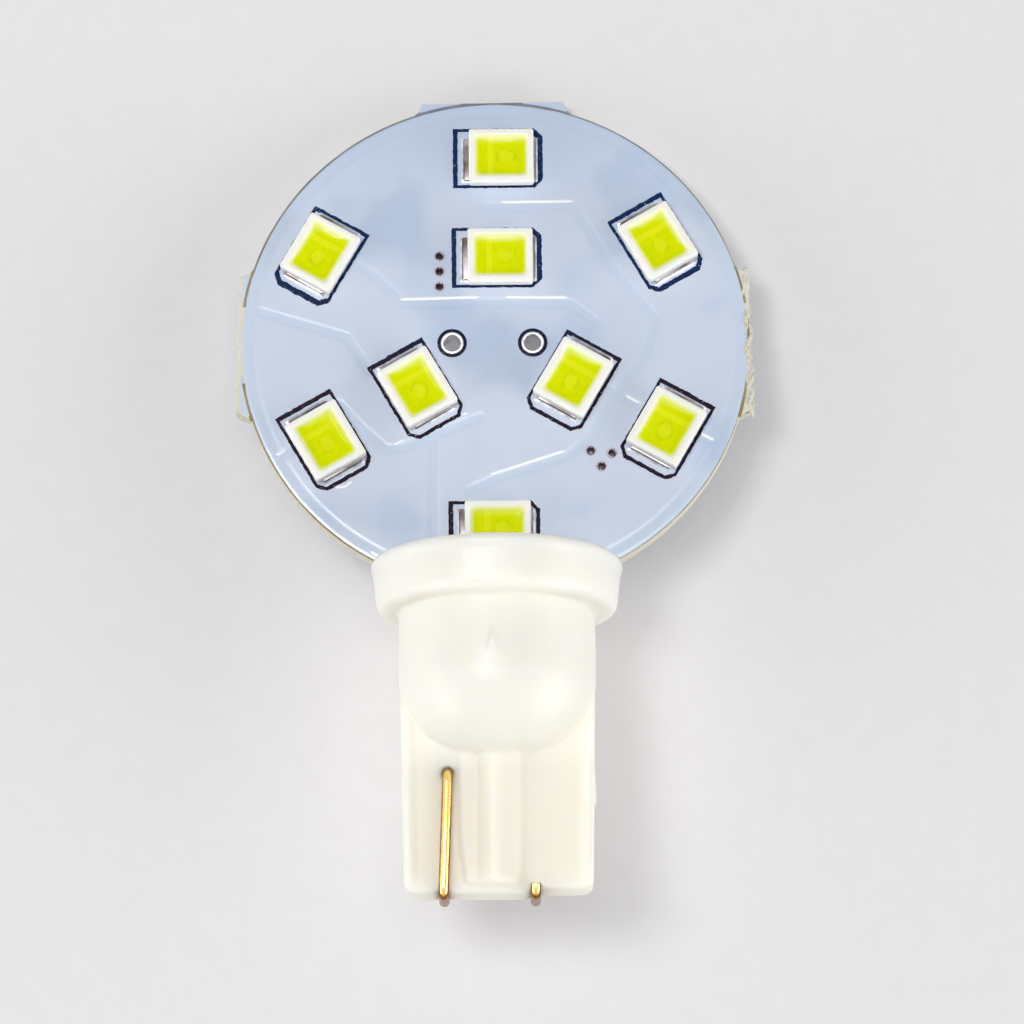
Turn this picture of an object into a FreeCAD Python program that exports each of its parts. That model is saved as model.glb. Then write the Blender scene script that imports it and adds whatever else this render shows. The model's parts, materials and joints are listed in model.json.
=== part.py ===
import FreeCAD, Part
import math
import os
import re
import Sketcher
from FreeCAD import Placement, Rotation, Vector

# Wedge base LED bulb: a round board of nine LEDs that stands in a moulded wedge base.
# The bulb's own frame has Y along the base, towards the board, X across the board and
# Z out of the board's lit face. Its origin is the middle of the collar's mouth.

doc = FreeCAD.newDocument("wedge_base_led_bulb")

# Driving sizes in mm, angles in degrees.
sizes = {
    # round board with four snapped break-off tabs
    "board_diameter": 25.0,
    "board_thickness": 1.2,
    "tab_width": 7.6,
    "tab_proud": 0.25,
    # plated lead holes and vias
    "lead_hole_pitch": 3.95,
    "lead_hole_shift": -0.12,
    "lead_hole_diameter": 0.8,
    "lead_pad_diameter": 1.1,
    "via_diameter": 0.3,
    "via_pad_diameter": 0.58,
    "plating_wall": 0.05,
    "via_column_across": -2.7,
    "via_column_along": 3.7,
    "via_column_pitch": 0.78,
    "via_corner_across": 5.15,
    "via_corner_along": -5.8,
    "via_corner_reach": 0.52,
    # where the LEDs stand on the board
    "outer_ring_radius": 9.58,
    "inner_ring_radius": 4.4,
    "ring_shift": -0.12,
    # one LED: case, window, terminals and solder
    "led_case_length": 3.2,
    "led_case_width": 2.8,
    "led_height": 0.78,
    "led_shift": 0.17,
    "window_length": 2.65,
    "window_width": 2.15,
    "window_round": 0.25,
    "window_depth": 0.3,
    "phosphor_recess": 0.02,
    "terminal_width": 2.2,
    "terminal_thickness": 0.15,
    "anode_proud": 0.25,
    "cathode_proud": 0.09,
    "anode_length": 2.0,
    "cathode_length": 0.9,
    "solder_width": 2.35,
    "solder_thickness": 0.04,
    "solder_climb": 0.12,
    "anode_solder_reach": 0.2,
    "cathode_solder_reach": 0.16,
    # moulded base: collar, barrel, domed end, wedge and its middle rib
    "barrel_diameter": 9.5,
    "barrel_wall": 1.25,
    "shoulder_width": 1.25,
    "collar_height": 2.6,
    "collar_taper": 0.2,
    "collar_wall": 1.0,
    "rim_flare": 0.12,
    "rim_round": 0.35,
    "rim_land": 0.1,
    "rim_slope": 0.25,
    "shoulder_round": 0.5,
    "dome_reach": 9.66,
    "dome_round": 3.8,
    "floor_thickness": 1.3,
    "floor_chamfer": 1.5,
    "wedge_reach": 16.43,
    "wedge_inset": 0.05,
    "wedge_taper": 0.2,
    "wedge_thickness": 2.1,
    "wedge_corner": 0.6,
    "rib_diameter": 3.1,
    "rib_setback": 0.35,
    "rib_round": 0.3,
    "catch_top": 9.0,
    "catch_end": 11.9,
    "catch_proud": 0.12,
    "catch_width": 1.2,
    # contact wires, one folded up each face of the wedge
    "wire_diameter": 0.5,
    "wire_seat_gap": 0.02,
    "left_wire_across": -2.4,
    "left_wire_lean": 2.1,
    "right_wire_across": 1.75,
    "right_wire_lean": 0.0,
    "wire_pad_start": 0.4,
    "wire_pad_end": 2.6,
    "wire_jog": 1.8,
    "wire_exit_drop": 0.9,
    "wire_under_proud": 0.3,
    "wire_hook_up": 0.45,
    "wire_jog_bend": 0.8,
    "wire_exit_bend": 0.6,
    "wire_fold_bend": 0.4,
    "wire_joint_radius": 0.85,
    "wire_joint_height": 0.8,
    "wire_joint_along": 0.9,
    # driver parts on the board's rear face; a leaded case has its leads along its row
    "lead_thickness": 0.2,
    "bridge_row": 4.6,
    "bridge_span": 3.8,
    "bridge_height": 1.3,
    "bridge_lead_width": 0.7,
    "bridge_lead_pitch": 2.54,
    "bridge_lead_reach": 0.8,
    "bridge_across": 0.0,
    "bridge_along": -3.4,
    "driver_row": 4.5,
    "driver_span": 2.5,
    "driver_height": 1.3,
    "driver_lead_width": 0.45,
    "driver_lead_pitch": 1.5,
    "driver_lead_reach": 0.8,
    "driver_across": -5.6,
    "driver_along": 0.6,
    "coil_core_diameter": 4.5,
    "coil_flange_thickness": 0.6,
    "coil_hub_diameter": 1.8,
    "coil_height": 2.6,
    "coil_winding_diameter": 3.9,
    "coil_across": 5.6,
    "coil_along": -1.4,
    "capacitor_length": 3.2,
    "capacitor_width": 1.6,
    "capacitor_height": 1.1,
    "capacitor_end": 0.45,
    "input_capacitor_across": 0.0,
    "input_capacitor_along": -7.6,
    "output_capacitor_across": 3.4,
    "output_capacitor_along": 3.6,
    "resistor_length": 2.0,
    "resistor_width": 1.25,
    "resistor_height": 0.5,
    "resistor_end": 0.3,
    "resistor_across": -4.8,
    "resistor_along": 4.3,
    "diode_row": 1.8,
    "diode_span": 2.8,
    "diode_height": 0.9,
    "diode_lead_width": 1.0,
    "diode_lead_reach": 0.45,
    "diode_across": -5.6,
    "diode_along": -4.2,
    # clearances
    "seat_fit": 0.03,
    "channel_fit": 0.05,
}

# Bearing of each LED round the board, heading of its cathode end, from +X towards +Y, and
# how far it slid along that heading and across it while the solder was molten.
leds = {
    "outer_90": ("outer_ring_radius", 88.0, 0, 0.0, -0.11),
    "outer_30": ("outer_ring_radius", 31.7, 300, -0.12, 0.0),
    "outer_330": ("outer_ring_radius", 331.7, 240, -0.2, 0.0),
    "outer_270": ("outer_ring_radius", 270.2, 0, 0.0, 0.0),
    "outer_210": ("outer_ring_radius", 211.2, 300, -0.07, 0.0),
    "outer_150": ("outer_ring_radius", 152.2, 240, -0.25, 0.0),
    "inner_90": ("inner_ring_radius", 86.8, 0, 0.0, -0.09),
    "inner_330": ("inner_ring_radius", 332.4, 240, -0.25, 0.0),
    "inner_210": ("inner_ring_radius", 212.8, 300, -0.17, 0.0),
}

sheet = doc.addObject("Spreadsheet::Sheet", "sizes")
for row, (alias, number) in enumerate(sizes.items(), start=1):
    sheet.set(f"A{row}", alias)
    sheet.set(f"B{row}", str(number))
    sheet.setAlias(f"B{row}", alias)
doc.recompute()


def bound(text):
    # puts the sheet's name before each alias of an expression
    def prefixed(word):
        return "sizes." + word.group() if word.group() in sizes else word.group()

    return re.sub(r"[a-z_][a-z0-9_]*", prefixed, text)


def value(text):
    result = sheet.evalExpression(bound(text))
    return float(getattr(result, "Value", result))


# Expressions that several pieces share.
barrel = "(barrel_diameter / 2)"
collar = f"({barrel} + shoulder_width)"
board_seat = f"sqrt((board_diameter / 2)^2 - {collar}^2)"
tab_edge = "(board_diameter / 2 + tab_proud)"
shelf_depth = f"({tab_edge} - {board_seat} + seat_fit)"
board_face = "board_thickness / 2"
wedge_face = "wedge_thickness / 2"
wedge_top = f"({barrel} - wedge_inset)"
wedge_end = f"({wedge_top} - wedge_taper)"
case_foot = "(solder_thickness + terminal_thickness)"


def body_named(name):
    body = doc.addObject("PartDesign::Body", name)
    body.Label = name
    return body


def plane(body, role):
    return next(item for item in body.Origin.OriginFeatures if item.Role == role)


def new_sketch(body, name, role, lift):
    sketch = body.newObject("Sketcher::SketchObject", name)
    sketch.AttachmentSupport = [(plane(body, role), "")]
    sketch.MapMode = "FlatFace"
    sketch.setExpression("AttachmentOffset.Base.z", bound(lift))
    return sketch


def fix_point(sketch, geometry, point, along_x, along_y):
    for kind, axis, text in (("DistanceX", -2, along_x), ("DistanceY", -1, along_y)):
        if text == "0":
            sketch.addConstraint(Sketcher.Constraint("PointOnObject", geometry, point, axis))
            continue
        index = sketch.addConstraint(
            Sketcher.Constraint(kind, -1, 1, geometry, point, value(text)))
        sketch.setExpression(f"Constraints[{index}]", bound(text))


def polygon(body, name, role, corners, lift="0"):
    # closed outline, every corner tied to the sheet
    sketch = new_sketch(body, name, role, lift)
    spots = [Vector(value(x), value(y), 0) for x, y in corners]
    count = len(spots)
    for index in range(count):
        line = Part.LineSegment(spots[index], spots[(index + 1) % count])
        sketch.addGeometry(line)
    for index in range(count):
        after = (index + 1) % count
        sketch.addConstraint(Sketcher.Constraint("Coincident", index, 2, after, 1))
    for index, (x, y) in enumerate(corners):
        fix_point(sketch, index, 1, x, y)
    return sketch


def rectangle(body, name, role, x0, x1, y0, y1, lift="0"):
    return polygon(body, name, role, [(x0, y0), (x1, y0), (x1, y1), (x0, y1)], lift)


def circles(body, name, role, rings, lift="0"):
    sketch = new_sketch(body, name, role, lift)
    for index, (x, y, diameter) in enumerate(rings):
        centre = Vector(value(x), value(y), 0)
        sketch.addGeometry(Part.Circle(centre, Vector(0, 0, 1), value(diameter) / 2))
        fix_point(sketch, index, 3, x, y)
        size = sketch.addConstraint(
            Sketcher.Constraint("Diameter", index, value(diameter)))
        sketch.setExpression(f"Constraints[{size}]", bound(diameter))
    return sketch


def extrude(body, kind, sketch, length, middle=False):
    feature = body.newObject(f"PartDesign::{kind}", f"{sketch.Name}_{kind.lower()}")
    feature.Profile = sketch
    feature.SideType = "Symmetric" if middle else "One side"
    feature.setExpression("Length", bound(length))
    return feature


def block(body, name, x0, x1, y0, y1, z0, height):
    return extrude(body, "Pad", rectangle(body, name, "XY_Plane", x0, x1, y0, y1, z0), height)


def turn(body, kind, sketch):
    feature = body.newObject(f"PartDesign::{kind}", f"{sketch.Name}_{kind.lower()}")
    feature.Profile = sketch
    feature.ReferenceAxis = (sketch, ["V_Axis"])
    feature.Angle = 360
    return feature


def round_edges(body, base, name, radius, wanted):
    # fillets the edges of the base feature that the test picks out
    doc.recompute()
    names = [f"Edge{index}" for index, edge in enumerate(base.Shape.Edges, start=1)
             if wanted(edge)]
    feature = body.newObject("PartDesign::Fillet", name)
    feature.Base = (base, names)
    feature.setExpression("Radius", bound(radius))
    return feature


def close(first, second):
    return abs(first - second) < 1e-4


def ring_at(radius, along):
    # test for a full circle round the base's axis
    def wanted(edge):
        curve = edge.Curve
        if not isinstance(curve, Part.Circle) or not edge.isClosed():
            return False
        return close(curve.Radius, radius) and close(curve.Center.y, along)

    return wanted


def upright_at(half_x, half_y, centre_x, lowest):
    # test for the upright edges at the corners of a rectangle
    def wanted(edge):
        box = edge.BoundBox
        at_corner = (close(abs(box.Center.x - centre_x), half_x)
                     and close(abs(box.Center.y), half_y))
        return at_corner and box.ZLength > 1e-3 and box.ZMin > lowest

    return wanted


# What is seated where, filled by the functions below: (object, place in the bulb's frame).
seated = []


def seat(item, place=None):
    seated.append((item, place or Placement()))
    return item


# Round board with its tabs, in a frame with Z through its middle.
def make_board():
    body = body_named("circuit_board")
    disc = circles(body, "board_disc", "XY_Plane", [("0", "0", "board_diameter")])
    extrude(body, "Pad", disc, "board_thickness", middle=True)
    tab = rectangle(body, "board_tab", "XY_Plane", "-tab_width / 2", "tab_width / 2",
                    "board_diameter / 2 - tab_width", tab_edge)
    tab_pad = extrude(body, "Pad", tab, "board_thickness", middle=True)
    tabs = body.newObject("PartDesign::PolarPattern", "board_tabs")
    tabs.Originals = [tab_pad]
    tabs.Axis = (plane(body, "Z_Axis"), [""])
    tabs.Angle = 360
    tabs.Occurrences = 4
    body.Tip = tabs
    doc.recompute()
    bores = [(across, "0", "lead_hole_diameter + 2 * plating_wall") for across in lead_holes]
    bores += [(x, y, "via_diameter + 2 * plating_wall") for x, y in vias]
    drilled = circles(body, "board_holes", "XY_Plane", bores)
    before = tabs.Shape.Volume
    holes = extrude(body, "Pocket", drilled, "board_thickness", middle=True)
    body.Tip = holes
    doc.recompute()
    assert holes.Shape.Volume < before - 1, "the board's holes cut nothing"
    return seat(body, on_board)


lead_holes = ["lead_hole_shift - lead_hole_pitch / 2", "lead_hole_shift + lead_hole_pitch / 2"]
vias = [
    ("via_column_across", "via_column_along + via_column_pitch"),
    ("via_column_across", "via_column_along"),
    ("via_column_across", "via_column_along - via_column_pitch"),
    ("via_corner_across - via_corner_reach", "via_corner_along + via_corner_reach / 2"),
    ("via_corner_across + via_corner_reach", "via_corner_along + via_corner_reach / 4"),
    ("via_corner_across", "via_corner_along - via_corner_reach"),
]
on_board = Placement(Vector(0, value(board_seat), 0), Rotation())


def plated_tube(body, name, hole, pad):
    # barrel through the board with a flat pad on each face
    wall = f"({hole} / 2 + plating_wall)"
    top = f"({board_face} + plating_wall)"
    half = [
        (f"{hole} / 2", f"-{top}"), (f"{pad} / 2", f"-{top}"),
        (f"{pad} / 2", f"-{board_face}"), (wall, f"-{board_face}"),
        (wall, board_face), (f"{pad} / 2", board_face),
        (f"{pad} / 2", top), (f"{hole} / 2", top),
    ]
    return turn(body, "Revolution", polygon(body, name, "XZ_Plane", half))


def make_plating():
    for side, across in zip(("left", "right"), lead_holes):
        body = body_named(f"lead_hole_plating_{side}")
        plated_tube(body, f"plating_{side}", "lead_hole_diameter", "lead_pad_diameter")
        spot = Placement(Vector(value(across), 0, 0), Rotation())
        seat(body, on_board.multiply(spot))
    single = body_named("via_tube")
    plated_tube(single, "via_section", "via_diameter", "via_pad_diameter")
    doc.recompute()
    tubes = []
    for x, y in vias:
        tube = single.Shape.copy()
        tube.translate(Vector(value(x), value(y), 0))
        tubes.append(tube)
    group = doc.addObject("Part::Feature", "via_plating")
    group.Shape = Part.makeCompound(tubes)
    seat(group, on_board)


# One LED, with X towards its cathode end and Z=0 on the board's face.
half_case = "led_case_length / 2"
half_window = "window_length / 2"


def make_led(name, ring, bearing, heading, slid_along, slid_across):
    angle = math.radians(bearing)
    facing = Rotation(Vector(0, 0, 1), heading)
    middle = Vector(math.cos(angle), math.sin(angle), 0) * value(ring)
    middle += Vector(value("ring_shift"), 0, value(board_face))
    middle += facing.multVec(Vector(slid_along, slid_across, 0))
    place = on_board.multiply(Placement(middle, facing))

    case = body_named(f"led_{name}_case")
    block(case, f"{name}_case", f"led_shift - {half_case}", f"led_shift + {half_case}",
          "-led_case_width / 2", "led_case_width / 2",
          case_foot, f"led_height - {case_foot}")
    well = rectangle(case, f"{name}_well", "XY_Plane",
                     f"led_shift - {half_window}", f"led_shift + {half_window}",
                     "-window_width / 2", "window_width / 2", "led_height")
    pocket = extrude(case, "Pocket", well, "window_depth")
    at_window = upright_at(value("window_length") / 2, value("window_width") / 2,
                           value("led_shift"), 0)
    round_edges(case, pocket, f"{name}_well_round", "window_round", at_window)
    seat(case, place)

    phosphor = body_named(f"led_{name}_phosphor")
    fill = block(phosphor, f"{name}_fill",
                 f"led_shift - {half_window}", f"led_shift + {half_window}",
                 "-window_width / 2", "window_width / 2",
                 "led_height - window_depth", "window_depth - phosphor_recess")
    round_edges(phosphor, fill, f"{name}_fill_round", "window_round", at_window)
    seat(phosphor, place)

    terminals = body_named(f"led_{name}_terminals")
    solder = body_named(f"led_{name}_solder")
    for end, sign in (("anode", "-1"), ("cathode", "1")):
        length, reach = f"{end}_length", f"{end}_solder_reach"
        tip = f"led_shift + {sign} * ({half_case} + {end}_proud)"
        inner = f"{tip} - {sign} * {length}"
        outer = f"{tip} + {sign} * {reach}"
        block(terminals, f"{name}_{end}", inner, tip, "-terminal_width / 2",
              "terminal_width / 2", "solder_thickness", "terminal_thickness")
        side = [(outer, "0"), (outer, "solder_thickness / 2"), (tip, "solder_climb"),
                (tip, "solder_thickness"), (inner, "solder_thickness"), (inner, "0")]
        profile = polygon(solder, f"{name}_{end}_solder", "XZ_Plane", side)
        extrude(solder, "Pad", profile, "solder_width", middle=True)
    seat(terminals, place)
    seat(solder, place)


# Moulded base: one turned form, then the wedge, its rib and catch, then the cavity.
def make_base():
    body = body_named("base_blank")
    outline = polygon(body, "base_outline", "XY_Plane", [
        ("0", "0"),
        (f"{collar} + rim_flare", "0"),
        (f"{collar} + rim_flare", "-(rim_round + rim_land)"),
        (collar, "-(rim_round + rim_land + rim_slope)"),
        (f"{collar} - collar_taper", "-collar_height"),
        (barrel, "-collar_height"),
        (barrel, "-dome_reach"),
        ("0", "-dome_reach"),
    ])
    turned = turn(body, "Revolution", outline)
    rim = round_edges(body, turned, "rim_rounding", "rim_round",
                      ring_at(value(f"{collar} + rim_flare"), 0))
    shoulder = round_edges(body, rim, "shoulder_rounding", "shoulder_round",
                           ring_at(value(f"{collar} - collar_taper"), value("-collar_height")))
    round_edges(body, shoulder, "dome_rounding", "dome_round",
                ring_at(value(barrel), value("-dome_reach")))

    dome_start = "-(dome_reach - dome_round)"
    wedge = polygon(body, "wedge_outline", "XY_Plane", [
        (f"-{wedge_top}", dome_start), (wedge_top, dome_start),
        (wedge_end, "-wedge_reach"), (f"-{wedge_end}", "-wedge_reach"),
    ])
    blade = extrude(body, "Pad", wedge, "wedge_thickness", middle=True)

    def end_corner(edge):
        box = edge.BoundBox
        return close(box.YMax, value("-wedge_reach")) and close(box.XLength, 0)

    round_edges(body, blade, "wedge_corners", "wedge_corner", end_corner)

    rib = circles(body, "rib_section", "XZ_Plane", [("0", "0", "rib_diameter")],
                  "dome_reach - dome_round")
    rib_pad = extrude(body, "Pad", rib, "wedge_reach - rib_setback - (dome_reach - dome_round)")

    def rib_end(edge):
        curve = edge.Curve
        on_rib = isinstance(curve, Part.Circle) and close(curve.Radius, value("rib_diameter / 2"))
        return on_rib and close(edge.BoundBox.YMin, value("-(wedge_reach - rib_setback)"))

    round_edges(body, rib_pad, "rib_end_rounding", "rib_round", rib_end)

    catch = polygon(body, "catch_outline", "XY_Plane", [
        (f"{wedge_end} - catch_proud", "-catch_top"),
        (f"{wedge_top} - catch_proud", "-catch_top"),
        (wedge_top, "-catch_end"),
        (f"{wedge_end} - catch_proud", "-catch_end"),
    ])
    extrude(body, "Pad", catch, "catch_width", middle=True)

    deep = "-(dome_reach - floor_thickness)"
    cavity = polygon(body, "cavity_section", "XY_Plane", [
        ("0", "0"),
        (f"{collar} - collar_wall", "0"),
        (f"{collar} - collar_wall", f"-{shelf_depth}"),
        (f"{barrel} - barrel_wall", f"-{shelf_depth}"),
        (f"{barrel} - barrel_wall", f"{deep} + floor_chamfer"),
        (f"{barrel} - barrel_wall - floor_chamfer", deep),
        ("0", deep),
    ])
    doc.recompute()
    before = body.Shape.Volume
    turn(body, "Groove", cavity)
    doc.recompute()
    assert body.Shape.Volume < before - 50, "the base's cavity cuts nothing"

    room = doc.addObject("Part::Cylinder", "board_room")
    room.setExpression("Radius", bound("board_diameter / 2 + seat_fit"))
    room.setExpression("Height", bound("board_thickness + 2 * seat_fit"))
    room.setExpression("Placement.Base.y", bound(board_seat))
    room.setExpression("Placement.Base.z", bound("-(board_thickness / 2 + seat_fit)"))
    cutters = doc.addObject("Part::Compound", "base_cutters")
    cutters.Links = [room] + [swept(f"{side}_channel", side, "wire_diameter + 2 * channel_fit")
                              for side in ("left", "right")]
    moulding = doc.addObject("Part::Cut", "base_moulding")
    moulding.Base = body
    moulding.Tool = cutters
    return seat(moulding)


# Contact wires. Each comes off the board's rear face, down through the base, out of one
# face of the wedge, down that face, under its end and a little way up the other face.
face_side = {"left": 1, "right": -1}
routes = {}


def rounded_path(points, bends):
    # straight runs joined by tangent arcs
    edges = []
    start = points[0]
    for before, corner, after, radius in zip(points, points[1:], points[2:], bends):
        incoming = (corner - before).normalize()
        outgoing = (after - corner).normalize()
        half_turn = incoming.getAngle(outgoing) / 2
        reach = radius * math.tan(half_turn)
        inward = (outgoing - incoming).normalize()
        arc_start = corner - incoming * reach
        arc_end = corner + outgoing * reach
        arc_middle = corner + inward * (radius / math.cos(half_turn) - radius)
        edges.append(Part.LineSegment(start, arc_start).toShape())
        edges.append(Part.Arc(arc_start, arc_middle, arc_end).toShape())
        start = arc_end
    edges.append(Part.LineSegment(start, points[-1]).toShape())
    return Part.Wire(edges)


def make_route(side):
    face = face_side[side]
    rear = -value(f"{board_face} + wire_diameter / 2 + wire_seat_gap")
    out = face * value(f"{wedge_face} + wire_diameter / 2 + wire_seat_gap")
    leave = -value("dome_reach + wire_exit_drop")
    under = -value("wedge_reach + wire_under_proud - wire_diameter / 2")
    jog_start = -value("wire_pad_end")
    across = value(f"{side}_wire_across")
    lean = math.tan(math.radians(value(f"{side}_wire_lean")))
    stations = [
        (-value("wire_pad_start"), rear), (jog_start, rear),
        (jog_start - value("wire_jog"), 0), (leave, 0), (leave, out),
        (under, out), (under, -out), (under + value("wire_hook_up"), -out),
    ]
    points = [Vector(across + lean * (y - leave), y, z) for y, z in stations]
    jog, leaving, fold = (value("wire_jog_bend"), value("wire_exit_bend"),
                          value("wire_fold_bend"))
    path = doc.addObject("Part::Feature", f"{side}_wire_route")
    path.Shape = rounded_path(points, [jog, jog, leaving, leaving, fold, fold])
    print(f"{side} wire: {path.Shape.Length:.2f} mm, bends {jog}, {leaving}, {fold} mm")
    routes[side] = path


def swept(name, side, diameter):
    section = doc.addObject("Part::Circle", f"{name}_section")
    section.setExpression("Radius", bound(f"({diameter}) / 2"))
    first = routes[side].Shape.Edges[0]
    section.Placement = Placement(first.valueAt(first.FirstParameter),
                                  Rotation(Vector(0, 0, 1), first.tangentAt(0)))
    sweep = doc.addObject("Part::Sweep", name)
    sweep.Sections = [section]
    sweep.Spine = (routes[side], [f"Edge{index + 1}"
                                  for index in range(len(routes[side].Shape.Edges))])
    sweep.Solid = True
    sweep.Frenet = False
    return sweep


def make_wires():
    for side in ("left", "right"):
        wire = swept(f"contact_wire_{side}", side, "wire_diameter")
        doc.recompute()
        expected = math.pi * value("wire_diameter / 2") ** 2 * routes[side].Shape.Length
        assert abs(wire.Shape.Volume / expected - 1) < 0.01, "a wire has a bad volume"
        seat(wire)


def make_wire_joints():
    joints = []
    for side in ("left", "right"):
        blob = doc.addObject("Part::Ellipsoid", f"{side}_wire_blob")
        blob.setExpression("Radius1", bound("wire_joint_height"))
        blob.setExpression("Radius2", bound("wire_joint_radius"))
        blob.setExpression("Radius3", bound("wire_joint_radius"))
        blob.Angle1 = 0
        blob.Angle2 = 90
        first = routes[side].Shape.Edges[0]
        across = first.valueAt(first.FirstParameter).x
        spot = Vector(across, -value("wire_joint_along"), -value(board_face))
        blob.Placement = Placement(spot, Rotation(Vector(0, 1, 0), 180))
        joint = doc.addObject("Part::Cut", f"{side}_wire_joint")
        joint.Base = blob
        joint.Tool = swept(f"{side}_wire_room", side, "wire_diameter")
        joints.append(joint)
    group = doc.addObject("Part::Compound", "wire_solder")
    group.Links = joints
    seat(group)


# Driver parts on the rear face, each with X across, Y along and Z out of that face.
def on_rear(name, heading=0):
    spot = Vector(value(f"{name}_across"), value(f"{name}_along"), -value(board_face))
    facing = Rotation(Vector(0, 1, 0), 180).multiply(Rotation(Vector(0, 0, 1), heading))
    return on_board.multiply(Placement(spot, facing))


def make_leaded(node, part, rows, heading):
    # moulded case standing on flat leads; rows give side (+1 or -1) and places of its leads
    place = on_rear(part, heading)
    case = body_named(f"{node}_case")
    block(case, f"{part}_case", f"-{part}_row / 2", f"{part}_row / 2",
          f"-{part}_span / 2", f"{part}_span / 2", "lead_thickness", f"{part}_height")
    leads = body_named(f"{node}_leads")
    for index, (side, middle) in enumerate(rows):
        tip = f"{side} * ({part}_span / 2 + {part}_lead_reach)"
        root = f"{side} * ({part}_span / 2 - {part}_lead_reach)"
        near, far = (root, tip) if side > 0 else (tip, root)
        block(leads, f"{part}_lead_{index}", f"{middle} - {part}_lead_width / 2",
              f"{middle} + {part}_lead_width / 2", near, far, "0", "lead_thickness")
    seat(case, place)
    seat(leads, place)


def make_chip(node, part, heading):
    # ceramic body between two metal ends
    spot = on_rear(part, heading)
    kind = part.split("_")[-1]
    body = body_named(f"{node}_body")
    inner = f"({kind}_length / 2 - {kind}_end)"
    block(body, f"{part}_body", f"-{inner}", inner, f"-{kind}_width / 2", f"{kind}_width / 2",
          "0", f"{kind}_height")
    ends = body_named(f"{node}_ends")
    for side, x0, x1 in (("near", f"-{kind}_length / 2", f"-{inner}"),
                         ("far", inner, f"{kind}_length / 2")):
        block(ends, f"{part}_{side}", x0, x1, f"-{kind}_width / 2", f"{kind}_width / 2",
              "0", f"{kind}_height")
    seat(body, spot)
    seat(ends, spot)


def make_coil():
    place = on_rear("coil")
    hub, rim, wound = ("coil_hub_diameter / 2", "coil_core_diameter / 2",
                       "coil_winding_diameter / 2")
    low, high = "coil_flange_thickness", "coil_height - coil_flange_thickness"
    core = body_named("inductor_core")
    turn(core, "Revolution", polygon(core, "coil_core", "XZ_Plane", [
        ("0", "0"), (rim, "0"), (rim, low), (hub, low), (hub, high), (rim, high),
        (rim, "coil_height"), ("0", "coil_height")]))
    winding = body_named("inductor_winding")
    turn(winding, "Revolution", polygon(winding, "coil_winding", "XZ_Plane", [
        (hub, low), (wound, low), (wound, high), (hub, high)]))
    seat(core, place)
    seat(winding, place)


def make_rear_parts():
    half_pitch = "bridge_lead_pitch / 2"
    make_leaded("bridge_rectifier", "bridge",
                [(side, middle) for side in (-1, 1) for middle in (f"-{half_pitch}", half_pitch)], 0)
    make_leaded("driver_ic", "driver",
                [(-1, "-driver_lead_pitch"), (-1, "0"), (-1, "driver_lead_pitch"), (1, "0")], 90)
    make_leaded("freewheel_diode", "diode", [(-1, "0"), (1, "0")], 0)
    make_chip("input_capacitor", "input_capacitor", 0)
    make_chip("output_capacitor", "output_capacitor", 90)
    make_chip("sense_resistor", "resistor", 0)
    make_coil()


def lying_turn():
    # angle at which the far tab's rear edge and the collar's rim both touch a flat surface
    tab = Vector(0, value(f"{board_seat} + {tab_edge}"), -value(board_face))
    rim = Vector(0, -value("rim_round"),
                 -value(f"{collar} + rim_flare - rim_round"))
    between = tab - rim
    slope = math.atan2(between.z, between.y)
    return slope + math.asin(value("rim_round") / between.Length)


def lay_down():
    # turns every piece with the board's far edge down and sets the origin under the middle
    turned = Placement(Vector(), Rotation(Vector(1, 0, 0), -math.degrees(lying_turn())))
    solids = []
    for item, place in seated:
        item.Placement = turned.multiply(place)
        solids.append(item.Shape)
    box = Part.makeCompound(solids).optimalBoundingBox(False)
    shift = Placement(Vector(-box.Center.x, -box.Center.y, -box.ZMin), Rotation())
    for item, place in seated:
        item.Placement = shift.multiply(turned).multiply(place)
    print(f"lies at {math.degrees(lying_turn()):.2f} degrees; size "
          f"{box.XLength:.2f} x {box.YLength:.2f} x {box.ZLength:.2f} mm")


def check_document():
    for item in doc.Objects:
        faults = {"Invalid", "Error"}.intersection(item.State)
        assert not faults, f"{item.Name}: {item.State}"
    for item, _ in seated:
        shape = item.Shape
        assert not shape.isNull() and shape.isValid() and shape.Solids, item.Label
        assert shape.Volume > 0, item.Label


make_board()
make_plating()
for name, (ring, bearing, heading, slid_along, slid_across) in leds.items():
    make_led(name, ring, bearing, heading, slid_along, slid_across)
for side in ("left", "right"):
    make_route(side)
make_base()
make_wires()
make_wire_joints()
make_rear_parts()
doc.recompute()
lay_down()
doc.recompute()
check_document()

os.makedirs("parts", exist_ok=True)
for item, _ in seated:
    item.Shape.exportStep(f"parts/{item.Label}.step")
print(f"{len(seated)} sub-parts written")
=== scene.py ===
import json
import math
import random

import bmesh
import bpy
import numpy as np
from mathutils import Matrix, Vector, noise


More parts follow.
